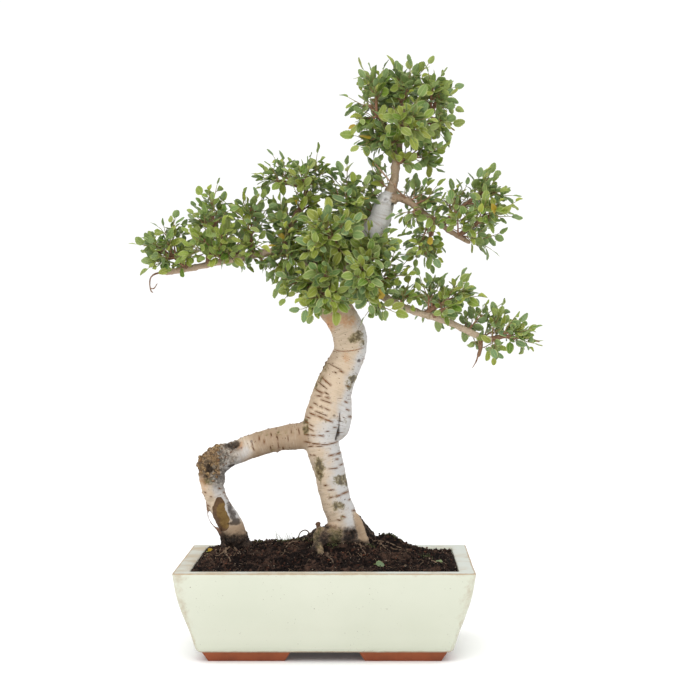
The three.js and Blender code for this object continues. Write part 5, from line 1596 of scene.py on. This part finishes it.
def build_trunk(settings):
    """Trunk, prop, elbow, roots and branch collars as one grown skin."""
    heap = wood_heap()
    lump_heap(heap)
    size = settings.mesh / MM * 1
    remesh = ("REMESH", {"mode": "VOXEL", "voxel_size": size})
    smooth = ("SMOOTH", {"factor": 0.6, "iterations": 6})
    corners, faces, _ = modified(np.concatenate(heap.corners), heap.faces, [remesh, smooth])
    corners = relaxed(corners, faces, join_share(corners), JOIN_ROUNDS)
    corners, faces, normals = modified(corners, faces, [])
    stems = wood_stems()
    notes, relief = wood_notes(corners, normals, stems)
    every = np.ones(len(corners))
    for name in ("bark_tone", "bark_wash"):
        notes[name] = relaxed(notes[name], faces, every, NOTE_ROUNDS)
    # Painted shade along the seams where one stem's bark meets another's and its coordinates jump, added to
    # the dark share
    apart = np.linalg.norm(relaxed(notes["bark_place"], faces, every, 1) - notes["bark_place"], axis=1)
    seam_painted_shade = relaxed(ease(apart, 2, 6)[:, None] * [0, 0, 1], faces, every, 2)
    notes["bark_stain"] = relaxed(notes["bark_stain"], faces, every, 2) + seam_painted_shade * 0.55
    corners = corners + normals * relief[:, None]
    skin = Heap()
    skin.add(corners, [], **notes)
    skin.faces = faces
    skin.kinds = [0] * len(faces)
    bark = bark_finish(settings)
    make_piece("trunk_and_prop", skin, [bark], ["tree"])
    build_marks(BVHTree.FromPolygons(corners.tolist(), faces))
    build_branches(bark, stems)


def join_share(points):
    """How much the skin is drawn smooth at each point, round the places where stems meet."""
    share = np.zeros(len(points))
    for x, y, z, reach in JOINS:
        share = np.maximum(share, ease(np.linalg.norm(points - [x, y, z], axis=1), reach * 1.25, reach * 0.6))
    return share


def relaxed(corners, faces, share, rounds):
    """Corners drawn towards the mean of their neighbours, as far as each one's share says."""
    starts = np.concatenate(faces)
    ends = np.concatenate([np.roll(face, -1) for face in faces])
    count = np.maximum(np.bincount(starts, minlength=len(corners)), 1)
    for _ in range(rounds):
        sums = [np.bincount(starts, corners[ends, k], len(corners)) for k in range(3)]
        means = np.column_stack(sums) / count[:, None]
        corners = corners + (means - corners) * (0.6 * share)[:, None]
    return corners


def front_hits(tree, path, count):
    """Where rays from the front meet the bark along a path of [x, z] places."""
    path = np.array(path, float)
    shares = np.linspace(0, len(path) - 1, count)
    hits = []
    for share in shares:
        x, z = (np.interp(share, range(len(path)), path[:, k]) for k in (0, 1))
        spot, normal, _, _ = tree.ray_cast(Vector((x, RAY_FRONT, z)), Vector((0, 1, 0)))
        if spot is not None:
            hits.append((spot, normal))
    return hits


def round_hits(tree, points, share, angle, span, slope):
    """Where rays from round a stem meet the bark along a dash across it."""
    shares = np.clip([share - 0.004, share, share + 0.004], 0, 1)
    line = stem_points(points, shares)
    along, side, rise = (rows[1] for rows in line_frames(line))
    radius = stem_radii(points, [share])[0]
    hits = []
    for t in np.linspace(-0.5, 0.5, 5):
        turn = angle + t * span / radius
        away = side * math.cos(turn) + rise * math.sin(turn)
        start = line[1] + along * slope * t * span + away * (radius + 8)
        spot, normal, _, _ = tree.ray_cast(Vector(start), Vector(-away), radius + 8)
        if spot is not None:
            hits.append((spot, normal))
    return hits


def add_ridge(heap, hits, half_width, proud, tone):
    """A low corky ridge that follows the bark, pointed at both ends."""
    if len(hits) < 3:
        return
    spots = np.array([hit[0] for hit in hits])
    normals = np.array([hit[1] for hit in hits])
    if np.linalg.norm(np.diff(spots, axis=0), axis=1).max() > 6:
        return
    across = unit(np.cross(normals, unit(np.gradient(spots, axis=0))))
    shares = np.linspace(0, 1, len(spots))
    uneven = np.array([0.8 + 0.4 * draw(i + spots[0][2]) for i in range(len(spots))])
    wide = (half_width * (0.25 + 0.75 * np.sin(np.pi * shares) ** 0.6) * uneven)[:, None]
    ring = [spots + across * wide - normals * 0.12, spots + normals * proud,
        spots - across * wide - normals * 0.12, spots - normals * 0.5]
    corners = np.stack(ring, 1).reshape(-1, 3)
    heap.add(corners, [*ring_faces(len(spots), 4), *cap_faces(len(spots), 4)], mark_tone=tone)


def build_marks(tree):
    """Lenticels, the two scars across the trunk and the warts, as fine raised pieces of their own."""
    heap = Heap()
    for number, (x, z, end_x, end_z) in enumerate(FRONT_DASHES):
        reach = math.hypot(end_x - x, end_z - z)
        hits = front_hits(tree, [[x, z], [end_x, end_z]], max(4, int(reach / 1.1)))
        tone = [0.5 * draw(number) ** 2, 0, 0]
        add_ridge(heap, hits, 0.55 + 0.45 * draw(number + 0.5), 0.22, tone)
    add_ridge(heap, front_hits(tree, SCAR, 26), 0.62, 0.15, [0.95, 0, 0])
    add_ridge(heap, front_hits(tree, [[x + 0.3, z - 0.7] for x, z in SCAR], 22), 0.3, 0.1, [0.1, 0, 0])
    for first, last in ((0, 2), (2, 4), (4, 6)):
        add_ridge(heap, front_hits(tree, CREASE[first:last], 8), 0.4, 0.15, [0.1, 0.15, 0])
    chance = np.random.default_rng(61)
    for points, low, high, count, longest in DASH_BANDS:
        for _ in range(count):
            angle = chance.uniform(0, 2 * math.pi)
            front = abs(angle - math.pi) < 1.0
            span = chance.uniform(0.8, 1.8) if front else chance.uniform(1.5, longest)
            hits = round_hits(tree, points, chance.uniform(low, high), angle, span, chance.normal(0, 0.12))
            add_ridge(heap, hits, chance.uniform(0.25, 0.55), 0.2, [0.5 * chance.random() ** 3, 0, 0])
    for number, (x, y, z, size) in enumerate(WARTS):
        spot, normal, _, _ = tree.find_nearest(Vector((x, y, z)))
        tone = [0.3 * draw(number), 0.25, 0.1]
        add_plate(heap, spot, normal, [size, size * 0.8, size * 0.75], number, tone)
    add_cork(heap, tree, chance)
    make_piece("bark_marks", heap, [mark_finish()], crease=math.radians(50))


def fine_lump():
    """Corners and faces of a sixty-sided lump."""
    pattern, faces = lump_pattern()
    order = []
    for number, (a, b, c) in enumerate(faces.tolist()):
        middle = len(pattern) + number
        order += [[a, b, middle], [b, c, middle], [c, a, middle]]
    return unit(np.concatenate([pattern, pattern[faces].mean(1)])), np.array(order)


def add_plate(heap, spot, normal, size, seed, tone):
    """A rough lump that sits half sunk in the bark, its third size across it."""
    pattern, faces = fine_lump()
    normal = np.array(normal)
    side = unit(np.cross(normal, swings(seed)))
    axes = np.array([side, np.cross(normal, side), normal])
    rough = pattern * (1 + 0.3 * grain(pattern, 0.55, octaves=2, seed=seed * 3.1))[:, None]
    heap.add((rough * size) @ axes + np.array(spot) - normal * size[2] * 0.25, [faces], mark_tone=tone)


def add_cork(heap, tree, chance):
    """Cork plates crowded on the outside of the elbow: ochre on the left, grey towards the arm."""
    for number in range(CORK_PLATES):
        heading = unit([chance.normal(-0.5, 0.8), chance.normal(-0.5, 0.8), chance.normal(0.25, 0.8)])
        centre = np.array([-104 + 16 * chance.random() ** 1.6, 0, 162 + 10 * chance.random()])
        spot, normal, _, _ = tree.ray_cast(Vector(centre + heading * 45), Vector(-heading), 45)
        if spot is None or spot.z < 150 or normal.dot(Vector((0.7, 0, -0.7))) > 0.5:
            continue
        left = float(ease(spot.x, -93, -100))
        if spot.x > -98 and spot.z < 166 and chance.random() < 0.75:
            continue
        if spot.y < 0 and math.hypot((spot.x + 106.5) / 4, (spot.z - 162.5) / 5) < 1:
            continue
        wide = chance.uniform(0.9, 2.5) * (0.7 + 0.5 * left)
        ochre = left * chance.uniform(0.25, 1.0)
        light = chance.uniform(0, 0.35) + (1 - left) * chance.uniform(0.1, 0.45)
        size = [wide, wide * chance.uniform(0.6, 0.9), wide * chance.uniform(0.35, 0.7)]
        add_plate(heap, spot, normal, size, number, [0.15 * chance.random(), light, ochre])


def build_branches(bark, stems):
    """The limbs, with knuckles and a slight wander, and a few bare twigs."""
    heap = Heap()
    for number, (name, points) in enumerate(LIMBS.items()):
        shares = even_shares(points, LIMB_SPACING)
        line = stem_points(points, shares)
        sides = 14 if points[0][3] > 3.4 else 9
        look = LIMB_TONES.get(name, PLAIN_LIMB)
        add_limb(heap, line, stem_radii(points, shares), sides, number, stems, look)
    for number, points in enumerate(BARE_TWIGS):
        shares = np.linspace(0, 1, 14)
        line = stem_points(points, shares)
        add_limb(heap, line, stem_radii(points, shares), 6, number + 50, stems, PLAIN_LIMB)
    make_piece("branches", heap, [bark], ["tree"])


def add_limb(heap, line, radii, sides, number, stems, look):
    """A limb with swollen nodes and fine rings, closed by a rounded end."""
    travel = np.concatenate([[0], np.cumsum(np.linalg.norm(np.diff(line, axis=0), axis=1))])
    nodes = np.zeros(len(line))
    spot = 4 + 5 * draw(number + 0.3)
    while spot < travel[-1]:
        nodes += np.exp(-(((travel - spot) / 1.6) ** 2))
        spot += 7 + 6 * draw(number + spot)
    thick = radii * (1 + 0.16 * nodes) * (1 - 0.55 * ease(travel, travel[-1] - radii[-1] * 0.9, travel[-1]))
    across = spokes(line, sides)
    spots = (line[:, None] + across * thick[:, None, None]).reshape(-1, 3)
    wander = grain(spots, 5, octaves=2, seed=number) * 0.12
    wander += grain(spots, 1.6, octaves=2, seed=number + 9) * 0.07
    spots = spots + across.reshape(-1, 3) * (wander * np.repeat(np.minimum(radii, 3), sides))[:, None]
    place, radius, _, _ = stems.locate(spots)
    nothing = 0 * radius
    stain = np.column_stack([nothing, 0.5 * ease(grain(spots, 8, seed=77), 0.1, 0.6),
        np.repeat(np.clip(nodes, 0, 1), sides) * 0.3])
    wash = np.column_stack([0.25 * ease(grain(spots, 12, seed=79), 0, 0.6), nothing,
        ease(radius, 7.5, 2.2) * look[0]])
    tone = np.column_stack([nothing + look[1], nothing + look[2], nothing])
    faces = [*ring_faces(len(line), sides), *cap_faces(len(line), sides)]
    heap.add(spots, faces, bark_place=place, bark_stain=stain, bark_wash=wash, bark_tone=tone,
        bark_patch=np.column_stack([nothing, nothing, nothing]))


def leaf_half_width(along):
    """Half width of a leaf at shares of its length: elliptic, fuller below the middle."""
    return np.sin(np.pi * np.clip(along, 0, 1) ** 0.93) ** 0.62


def leaf_pattern():
    """One flat leaf with a toothed edge, closed above and below: along, across, margin share, side, faces."""
    rows = np.arange(LEAF_ROWS + 1) / LEAF_ROWS
    along, across, margin, lift = [], [], [], []

    def corner(u, v, edge, height):
        along.append(u)
        across.append(v)
        margin.append(edge)
        lift.append(height)
        return len(along) - 1

    faces = []
    base = corner(0, 0, 0, 0)
    tip = corner(1, 0, 0, 0)
    ribs = {s: [base] + [corner(u, 0, 0, s) for u in rows[1:-1]] + [tip] for s in (1, -1)}
    for sign in (1, -1):
        notch = [base] + [corner(u, sign * leaf_half_width(u) * 0.98, sign, 0) for u in rows[1:-1]] + [tip]
        tooth = []
        for u in rows[:-1]:
            middle = u + TOOTH_LEAN / LEAF_ROWS
            wide = leaf_half_width(u + 0.5 / LEAF_ROWS) * TOOTH_OUT
            tooth.append(corner(middle, sign * wide * (0.6 if u == 0 else 1), sign, 0))
        for side in (1, -1):
            rib = ribs[side]
            half = [base] + [corner(u, sign * leaf_half_width(u) * 0.52, sign * 0.52, side)
                for u in rows[1:-1]] + [tip]
            for i in range(LEAF_ROWS):
                ring = [[rib[i], rib[i + 1], half[i + 1]], [rib[i], half[i + 1], half[i]],
                    [half[i], half[i + 1], tooth[i]], [half[i + 1], notch[i + 1], tooth[i]],
                    [half[i], tooth[i], notch[i]]]
                for face in ring:
                    if len(set(face)) == 3:
                        faces.append(face if sign * side < 0 else face[::-1])
    return (*(np.array(row, float) for row in (along, across, margin, lift)), np.array(faces))


def leaf_mesh(heap, leaves, full_length, full_width):
    """Adds all the leaves to the heap as closed toothed blades on their stalks."""
    if not leaves:
        return
    along, across, margin, lift, faces = leaf_pattern()
    base = np.array([leaf["base"] for leaf in leaves])
    out = unit([leaf["out"] for leaf in leaves])
    face = np.array([leaf["face"] for leaf in leaves])
    seed = np.array([leaf["seed"] for leaf in leaves])
    size = np.array([leaf["size"] for leaf in leaves])
    chance = [np.array([draw(s + k) for s in seed])[:, None] for k in (0.11, 0.22, 0.33, 0.44, 0.55)]
    aside = unit(np.cross(face, out))
    rise = np.cross(out, aside)
    reach = (full_length * size)[:, None]
    wide = reach * full_width * (0.86 + 0.3 * chance[0]) / 2
    u = along[None]
    v = across[None] * wide
    skew = 1 + 0.09 * np.sign(across)[None] * np.where(chance[1] > 0.5, 1, -1) * (1 - u)
    v = v * skew
    folded = np.array([0.55 if leaf["folded"] else 0.0 for leaf in leaves])[:, None]
    fold = 0.06 + 0.24 * chance[2] + folded
    curl = -0.04 + 0.26 * chance[3]
    ripple = 0.35 * np.sin(u * 9 + 6 * chance[4]) * np.abs(margin)[None] * (0.4 + chance[1])
    z = fold * np.abs(v) - curl * u**2 * reach + ripple + lift[None] * BLADE_THICKNESS
    twist = (chance[4] - 0.5) * 0.7 * u
    z = z + v * twist
    stalk = (1.0 + 0.8 * size)[:, None]
    root = base + out * stalk
    spots = (root[:, None] + out[:, None] * (u * reach)[..., None]
        + aside[:, None] * v[..., None] + rise[:, None] * z[..., None])
    count = len(along)
    order = (np.arange(len(leaves))[:, None, None] * count + faces[None]).reshape(-1, 3)
    place = np.broadcast_to(np.column_stack([along, margin, 0.5 + 0.5 * lift])[None], (len(leaves), count, 3))
    tint = np.repeat(np.array([leaf["tint"] for leaf in leaves])[:, None], count, 1)
    look = np.repeat(np.array([leaf["look"] for leaf in leaves])[:, None], count, 1)
    heap.add(spots.reshape(-1, 3), [order], leaf_place=place.reshape(-1, 3), leaf_tint=tint.reshape(-1, 3),
        leaf_look=look.reshape(-1, 3))
    for leaf, start, end in zip(leaves, base, root + out * 0.4):
        line = np.array([start, (start + end) / 2, end])
        corners, groups = tube(line, [0.42, 0.3, 0.26], 3)
        heap.add(corners, groups, kind=1, leaf_place=[0, 0, 1], leaf_tint=[0, 0.7, 0], leaf_look=[0, 0, 0])


class Room:
    """Remembers where leaves are, so that new ones find a place of their own."""

    def __init__(self, cell):
        self.cell = cell
        self.spots = {}

    def key(self, spot):
        """The cell that a spot lies in."""
        return tuple(int(c // self.cell) for c in spot)

    def is_free(self, spot, gap):
        """Whether no leaf's middle is nearer than the gap, or half of it across the blades."""
        a, b, c = self.key(spot)
        for key in itertools.product((a - 1, a, a + 1), (b - 1, b, b + 1), (c - 1, c, c + 1)):
            for other, facing in self.spots.get(key, ()):
                offset = spot - other
                if offset @ offset < gap * gap and abs(offset @ facing) < gap * 0.5:
                    return False
        return True

    def take(self, spot, normal):
        """Remembers a leaf by its middle and the way it faces."""
        self.spots.setdefault(self.key(spot), []).append((np.asarray(spot), np.asarray(normal)))


def seat_for(tip):
    """The stem point that a twig to this tip grows from."""
    best = (math.inf, None, 0.0)
    for points in [TRUNK[FIRST_CROWN_POINT:], *LIMBS.values()]:
        shares = np.arange(STEM_SAMPLES + 1) / STEM_SAMPLES
        distance = np.linalg.norm(stem_points(points, shares) - tip, axis=1)
        distance[distance <= SHORTEST_TWIG] = math.inf
        row = int(distance.argmin())
        if distance[row] < best[0]:
            best = (distance[row], points, shares[row])
    distance, points, share = best
    whole = line_length(stem_points(points, np.linspace(0, 1, 201)))
    place = np.clip(share - SEAT_BACK * distance / whole, 0.04, 0.97)
    return stem_points(points, [place])[0]


def twig_line(seat, tip, bow, seed, share):
    """A bowed line from the seat towards the tip, as far as the given share of the way."""
    span = tip - seat
    reach = np.linalg.norm(span)
    side = unit(np.cross(span, UP))
    middle = (seat + tip) / 2 + UP * reach * (0.06 + 0.1 * bow) + side * reach * 0.16 * swing(seed + bow)
    t = np.linspace(0, share, TWIG_POINTS)[:, None]
    return (1 - t) ** 2 * seat + 2 * t * (1 - t) * middle + t**2 * tip


class Spray:
    """A twig with its side shoots and leaves."""

    def __init__(self, room, pad, seed):
        self.room = room
        self.pad = pad
        self.seed = seed
        self.leaves = []
        self.twigs = []

    def face_at(self, spot, seed):
        """The way that leaves at a spot face: up and out of the crown."""
        middle, reach = (np.array(row, float) for row in PADS[self.pad])
        outward = unit((spot - middle) / reach**2)
        stray = swings(seed)
        return unit(UP * 0.45 + outward * 0.85 + stray * 0.55)

    def shoot(self, line, radii, shares, seed, young):
        """A shoot along a line, with alternate leaves at the given shares and one at its end."""
        self.twigs.append((line, radii))
        along = unit(np.gradient(line, axis=0))
        face = self.face_at(line[len(line) // 2], seed)
        for number, share in enumerate([*shares, 1.0]):
            base, row = point_at(line, share * (len(line) - 1))
            sign = 0 if share == 1.0 else 1 - 2 * (number % 2)
            self.leaf(base, along[row], face, sign, seed + number * 3.7, young * share)

    def leaf(self, base, along, face, sign, seed, young):
        """One leaf, turned until it has room."""
        for turn in range(LEAF_TRIES):
            trial = seed + turn * 7.31
            stray = swings(trial)
            leaf_face = unit(face + stray * (0.5 + 0.12 * turn))
            side = unit(np.cross(leaf_face, along))
            angle = math.radians(56 + 16 * swing(trial + 0.4)) if sign else 0.35 * swing(trial + 0.4)
            aside = side * (sign or 1) * math.sin(angle)
            out = unit(along * math.cos(angle) + aside - UP * 0.12 * draw(trial))
            size = (0.66 + 0.44 * draw(trial + 0.5)) * (1 - 0.22 * young) * PAD_LOOKS[self.pad][0]
            middle = base + out * (2 + 5.5 * size)
            if self.room.is_free(middle, LEAF_GAP):
                self.room.take(middle, leaf_face)
                tint = leaf_tint(trial, young)
                look = leaf_look(self.pad, trial)
                self.leaves.append({"base": base, "out": out, "face": leaf_face, "size": size,
                    "seed": trial, "tint": tint, "look": look, "folded": tint[1] > 0.55})
                return

    def grow(self, line):
        """Main twig, its side shoots and the leaves on them."""
        reach = line_length(line)
        self.shoot(line, np.linspace(1.0, 0.45, len(line)), [0.55, 0.7, 0.82, 0.92], self.seed + 0.7, 0.5)
        along, side, rise = line_frames(line)
        count = max(4, round(reach / SHOOT_EVERY))
        for number in range(count):
            seed = self.seed + 17.3 * (number + 1)
            start, row = point_at(line, (0.12 + 0.8 * (number + 0.5) / count) * (len(line) - 1))
            turn = number * 2.4 + self.seed
            away = side[row] * math.cos(turn) + rise[row] * math.sin(turn)
            heading = unit(along[row] * 0.6 + away * 0.9 + self.face_at(start, seed) * 0.3)
            long = 8 + 8 * draw(seed + 0.8)
            steps = np.linspace(0, 1, 5)[:, None]
            bend = along[row] * 0.3 + UP * 0.2 * draw(seed + 0.9)
            path = start + heading * long * steps + bend * long * steps**2
            shares = [0.35, 0.68] if long < 11 else [0.28, 0.5, 0.75]
            young = 1.0 if draw(seed + 0.95) > 0.72 else 0.25
            self.shoot(path, np.linspace(0.55, 0.3, 5), shares, seed, young)


def leaf_tint(seed, young):
    """Hue, youth and turning colour of one leaf."""
    hue = draw(seed + 1.1)
    youth = np.clip(young * 0.8 * draw(seed + 1.2) + 0.45 * draw(seed + 1.3) ** 3, 0, 1)
    turning = 0.85 if draw(seed + 1.4) > 0.995 else 0.0
    return [hue, youth, turning]


def leaf_look(pad, seed):
    """How blue a leaf is and how pale its margin."""
    _, blue, margin = PAD_LOOKS[pad]
    return [blue * float(ease(draw(seed + 1.5), 0.4, 0.8)), margin * (0.6 + 0.4 * draw(seed + 1.6)), 0]


def leaf_heap(sprays, settings):
    """One mesh for the sprays' leaves and twigs."""
    heap = Heap()
    for spray in sprays:
        leaf_mesh(heap, spray.leaves, settings.length / MM, settings.width)
        for line, radii in spray.twigs:
            nodes = 1 + 0.14 * np.cos(np.arange(len(line)) * 2.2)
            corners, faces = tube(line, np.asarray(radii) * nodes, 6)
            green = np.repeat(np.linspace(0, 0.8, len(line)), 6) * (radii[0] < 0.8)
            notes = np.column_stack([green * 0, green, green * 0])
            heap.add(corners, faces, kind=1, leaf_place=[0, 0, 1], leaf_tint=notes, leaf_look=[0, 0, 0])
    return heap


def plan_spray(room, pad, pad_index, index, place, name):
    """A spray grown from the wood towards its tip."""
    tip = np.array(place, float)
    seed = pad_index * 100 + index * 4.3 + 1
    seat = seat_for(tip)
    share = 1 - SHORT_TWIGS.get(name, TIP_ROOM) / np.linalg.norm(tip - seat)
    line = twig_line(seat, tip, TWIG_BOWS.get(name, 0), seed, share)
    spray = Spray(room, pad, seed)
    spray.grow(line)
    return spray


def clear_wood(sprays, stems):
    """Drops the leaves that would lie in a stem."""
    for spray in sprays:
        if spray.leaves:
            middles = np.array([leaf["base"] + leaf["out"] * 6 * leaf["size"] for leaf in spray.leaves])
            free = stems.clearance(middles) > LEAF_CLEARANCE
            spray.leaves = [leaf for leaf, keep in zip(spray.leaves, free) if keep]


def build_sprays(settings, wood):
    """A leafy spray for each CAD spray, and a few more in the gaps between them."""
    leaf = leaf_finish(settings)
    shoot = shoot_finish(wood)
    room = Room(LEAF_GAP)
    stems = wood_stems()
    for pad_index, (pad, tips) in enumerate(SPRAY_TIPS.items()):
        for index, place in enumerate(tips):
            name = f"{pad}_{index + 1:02d}"
            spray = plan_spray(room, pad, pad_index, index, place, name)
            clear_wood([spray], stems)
            make_piece(f"leaves_{name}", leaf_heap([spray], settings), [leaf, shoot],
                [f"spray_{name}"], crease=LEAF_CREASE)
    for pad_index, (pad, tips) in enumerate(MORE_TIPS.items()):
        sprays = [plan_spray(room, pad, pad_index + 10, index, place, "") for index, place in enumerate(tips)]
        clear_wood(sprays, stems)
        make_piece(f"leaves_{pad}_more", leaf_heap(sprays, settings), [leaf, shoot],
            crease=LEAF_CREASE)


def build_fallen(settings):
    """Leaves that have dropped on the soil, where the CAD has them."""
    finish = leaf_finish(settings, "fallen_leaf", 0.5)
    for number, (youth, wide, size, lean, heading) in DROPPED_LEAVES.items():
        node = f"fallen_leaf_{number}"
        low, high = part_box(node)
        middle = (low + high) / 2 / MM
        out = np.array([math.cos(math.radians(heading)), math.sin(math.radians(heading)), 0.0])
        spot = on_soil(middle.x - POT_MIDDLE / MM, middle.y, DROPPED_HEIGHT)
        heap = Heap()
        leaf = {"base": spot - out * 6.5, "out": out, "face": unit([0.1, lean, 1]), "size": size,
            "seed": 3.3 * number, "tint": [0.6, youth, 0.0], "look": [1.0, 0.7, 0], "folded": False}
        leaf_mesh(heap, [leaf], settings.length / MM, settings.width * wide)
        make_piece(f"dropped_leaf_{number}", heap, [finish, finish], [node],
            crease=LEAF_CREASE)
    spot = on_soil(*YELLOW_SCRAP)
    heap = Heap()
    for seed, out, size in ((5.1, [0.9, -0.2, 0.35], 0.42), (6.4, [0.5, 0.6, 0.1], 0.36)):
        scrap = {"base": spot - unit(out) * 3, "out": unit(out), "face": unit([-0.2, -0.9, 0.6]),
            "size": size, "seed": seed, "tint": [0.5, 0.3, 1.0], "look": [0, 0.3, 0], "folded": True}
        leaf_mesh(heap, [scrap], settings.length / MM, settings.width)
    golden = leaf_finish(settings, "yellow_leaf")
    make_piece("yellow_scrap", heap, [golden, golden], crease=LEAF_CREASE)


def build_camera(settings):
    """The photograph's viewpoint: level, at the height of the trunk's bend, a little to the right."""
    data = bpy.data.cameras.new("camera")
    data.lens = settings.lens
    data.sensor_width = 36
    data.clip_end = 50
    camera = linked("camera", data)
    camera.location = scene_points(CAMERA_PLACE)
    camera.rotation_euler = (math.radians(90), 0, 0)
    data.shift_x, data.shift_y = CAMERA_SHIFT
    bpy.context.scene.camera = camera


def add_light(name, place, size, power):
    """A round soft light that shines on the tree."""
    data = bpy.data.lights.new(name, "AREA")
    data.shape = "DISK"
    data.size = size
    data.energy = power
    lamp = linked(name, data)
    lamp.location = place
    aim = Vector(LIGHT_AIM) - Vector(place)
    lamp.rotation_euler = aim.to_track_quat("-Z", "Y").to_euler()


def build_room(settings):
    """A room that is dim all round and white behind the object and overhead."""
    world = bpy.data.worlds.new("white_room")
    world.use_nodes = True
    nodes = world.node_tree.nodes
    links = world.node_tree.links
    place = nodes.new("ShaderNodeTexCoord")
    parts = nodes.new("ShaderNodeSeparateXYZ")
    links.new(place.outputs["Generated"], parts.inputs["Vector"])
    levels = []
    for axis, low, high, brightness in ((1, 0.86, 0.95, 1.05), (2, 0.15, 0.85, settings.overhead)):
        level = nodes.new("ShaderNodeMapRange")
        level.interpolation_type = "SMOOTHSTEP"
        level.inputs["From Min"].default_value = low
        level.inputs["From Max"].default_value = high
        level.inputs["To Min"].default_value = settings.sky
        level.inputs["To Max"].default_value = brightness
        links.new(parts.outputs[axis], level.inputs["Value"])
        levels.append(level)
    brightest = nodes.new("ShaderNodeMath")
    brightest.operation = "MAXIMUM"
    for number, level in enumerate(levels):
        links.new(level.outputs[0], brightest.inputs[number])
    background = nodes["Background"]
    background.inputs["Color"].default_value = (1, 1, 1, 1)
    links.new(brightest.outputs[0], background.inputs["Strength"])
    return world


def build_stage(settings):
    """Plain pale floor in a white room, with one soft key light from the front left."""
    scene = bpy.context.scene
    scene.view_settings.view_transform = "Standard"
    scene.world = build_room(settings)
    mesh = bpy.data.meshes.new("floor")
    corners = [(x * FLOOR_HALF, y * FLOOR_HALF, 0) for x, y in ((-1, -1), (1, -1), (1, 1), (-1, 1))]
    mesh.from_pydata(corners, [], [(0, 1, 2, 3)])
    finish = Finish("pale_floor", Base_Color=settings.floor, Roughness=0.9, Specular_IOR_Level=0.0,
        Emission_Color=(1, 1, 1), Emission_Strength=settings.floor_glow)
    mesh.materials.append(finish.material)
    floor = linked("floor", mesh)
    add_light("key", KEY_PLACE, KEY_SIZE, settings.key)


class BONSAI_OT_stage(bpy.types.Operator):
    """Make the floor, the lights and the camera"""

    bl_idname = "bonsai.stage"
    bl_label = "Stage and camera"

    def execute(self, context):
        build_stage(context.scene.bonsai_stage)
        build_camera(context.scene.bonsai_stage)
        return {"FINISHED"}


class BONSAI_OT_pot(bpy.types.Operator):
    """Make the glazed pot and its clay feet"""

    bl_idname = "bonsai.pot"
    bl_label = "Glazed pot"

    def execute(self, context):
        build_pot(context.scene.bonsai_pot)
        return {"FINISHED"}


class BONSAI_OT_nets(bpy.types.Operator):
    """Give the nets over the drain holes their plastic"""

    bl_idname = "bonsai.nets"
    bl_label = "Drain nets"

    def execute(self, context):
        finish = net_finish()
        for name in ("drain_screen_left", "drain_screen_right"):
            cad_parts[name].data.materials.clear()
            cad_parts[name].data.materials.append(finish)
        return {"FINISHED"}


class BONSAI_OT_soil(bpy.types.Operator):
    """Make the soil with its crumbs, fibres, moss and grass"""

    bl_idname = "bonsai.soil"
    bl_label = "Soil"

    def execute(self, context):
        settings = context.scene.bonsai_soil
        build_soil(settings)
        build_crumbs(settings)
        build_fibres(settings)
        build_greenery()
        return {"FINISHED"}


class BONSAI_OT_wood(bpy.types.Operator):
    """Make the trunk, the prop, the roots and the branches"""

    bl_idname = "bonsai.wood"
    bl_label = "Trunk and branches"

    def execute(self, context):
        build_trunk(context.scene.bonsai_wood)
        return {"FINISHED"}


class BONSAI_OT_leaves(bpy.types.Operator):
    """Make the leafy sprays of the crown and the fallen leaves"""

    bl_idname = "bonsai.leaves"
    bl_label = "Leaves"

    def execute(self, context):
        build_sprays(context.scene.bonsai_leaves, context.scene.bonsai_wood)
        build_fallen(context.scene.bonsai_leaves)
        return {"FINISHED"}


class BONSAI_PT_panel(bpy.types.Panel):
    """Settings and steps of the bonsai"""

    bl_idname = "BONSAI_PT_panel"
    bl_label = "Chinese elm bonsai"
    bl_space_type = "VIEW_3D"
    bl_region_type = "UI"
    bl_category = "Bonsai"

    def draw(self, context):
        for operator, key in STEPS:
            box = self.layout.box()
            box.operator(operator.bl_idname)
            if key:
                group = getattr(context.scene, key)
                for name in group.__annotations__:
                    box.prop(group, name)


STEPS = [
    (BONSAI_OT_stage, "bonsai_stage"),
    (BONSAI_OT_pot, "bonsai_pot"),
    (BONSAI_OT_nets, None),
    (BONSAI_OT_soil, "bonsai_soil"),
    (BONSAI_OT_wood, "bonsai_wood"),
    (BONSAI_OT_leaves, "bonsai_leaves"),
]
GROUPS = {
    "bonsai_stage": StageSettings,
    "bonsai_pot": PotSettings,
    "bonsai_soil": SoilSettings,
    "bonsai_wood": WoodSettings,
    "bonsai_leaves": LeafSettings,
}


def register():
    """Adds the settings, the steps and the panel."""
    for key, group in GROUPS.items():
        bpy.utils.register_class(group)
        setattr(bpy.types.Scene, key, bpy.props.PointerProperty(type=group))
    for operator, _ in STEPS:
        bpy.utils.register_class(operator)
    bpy.utils.register_class(BONSAI_PT_panel)


def unregister():
    """Takes the panel, the steps and the settings away again."""
    bpy.utils.unregister_class(BONSAI_PT_panel)
    for operator, _ in reversed(STEPS):
        bpy.utils.unregister_class(operator)
    for key, group in GROUPS.items():
        delattr(bpy.types.Scene, key)
        bpy.utils.unregister_class(group)


def main():
    """Build everything."""
    register()
    bpy.ops.bonsai.stage()
    bpy.ops.bonsai.pot()
    bpy.ops.bonsai.nets()
    bpy.ops.bonsai.soil()
    bpy.ops.bonsai.wood()
    bpy.ops.bonsai.leaves()


if __name__ == "__main__":
    main()
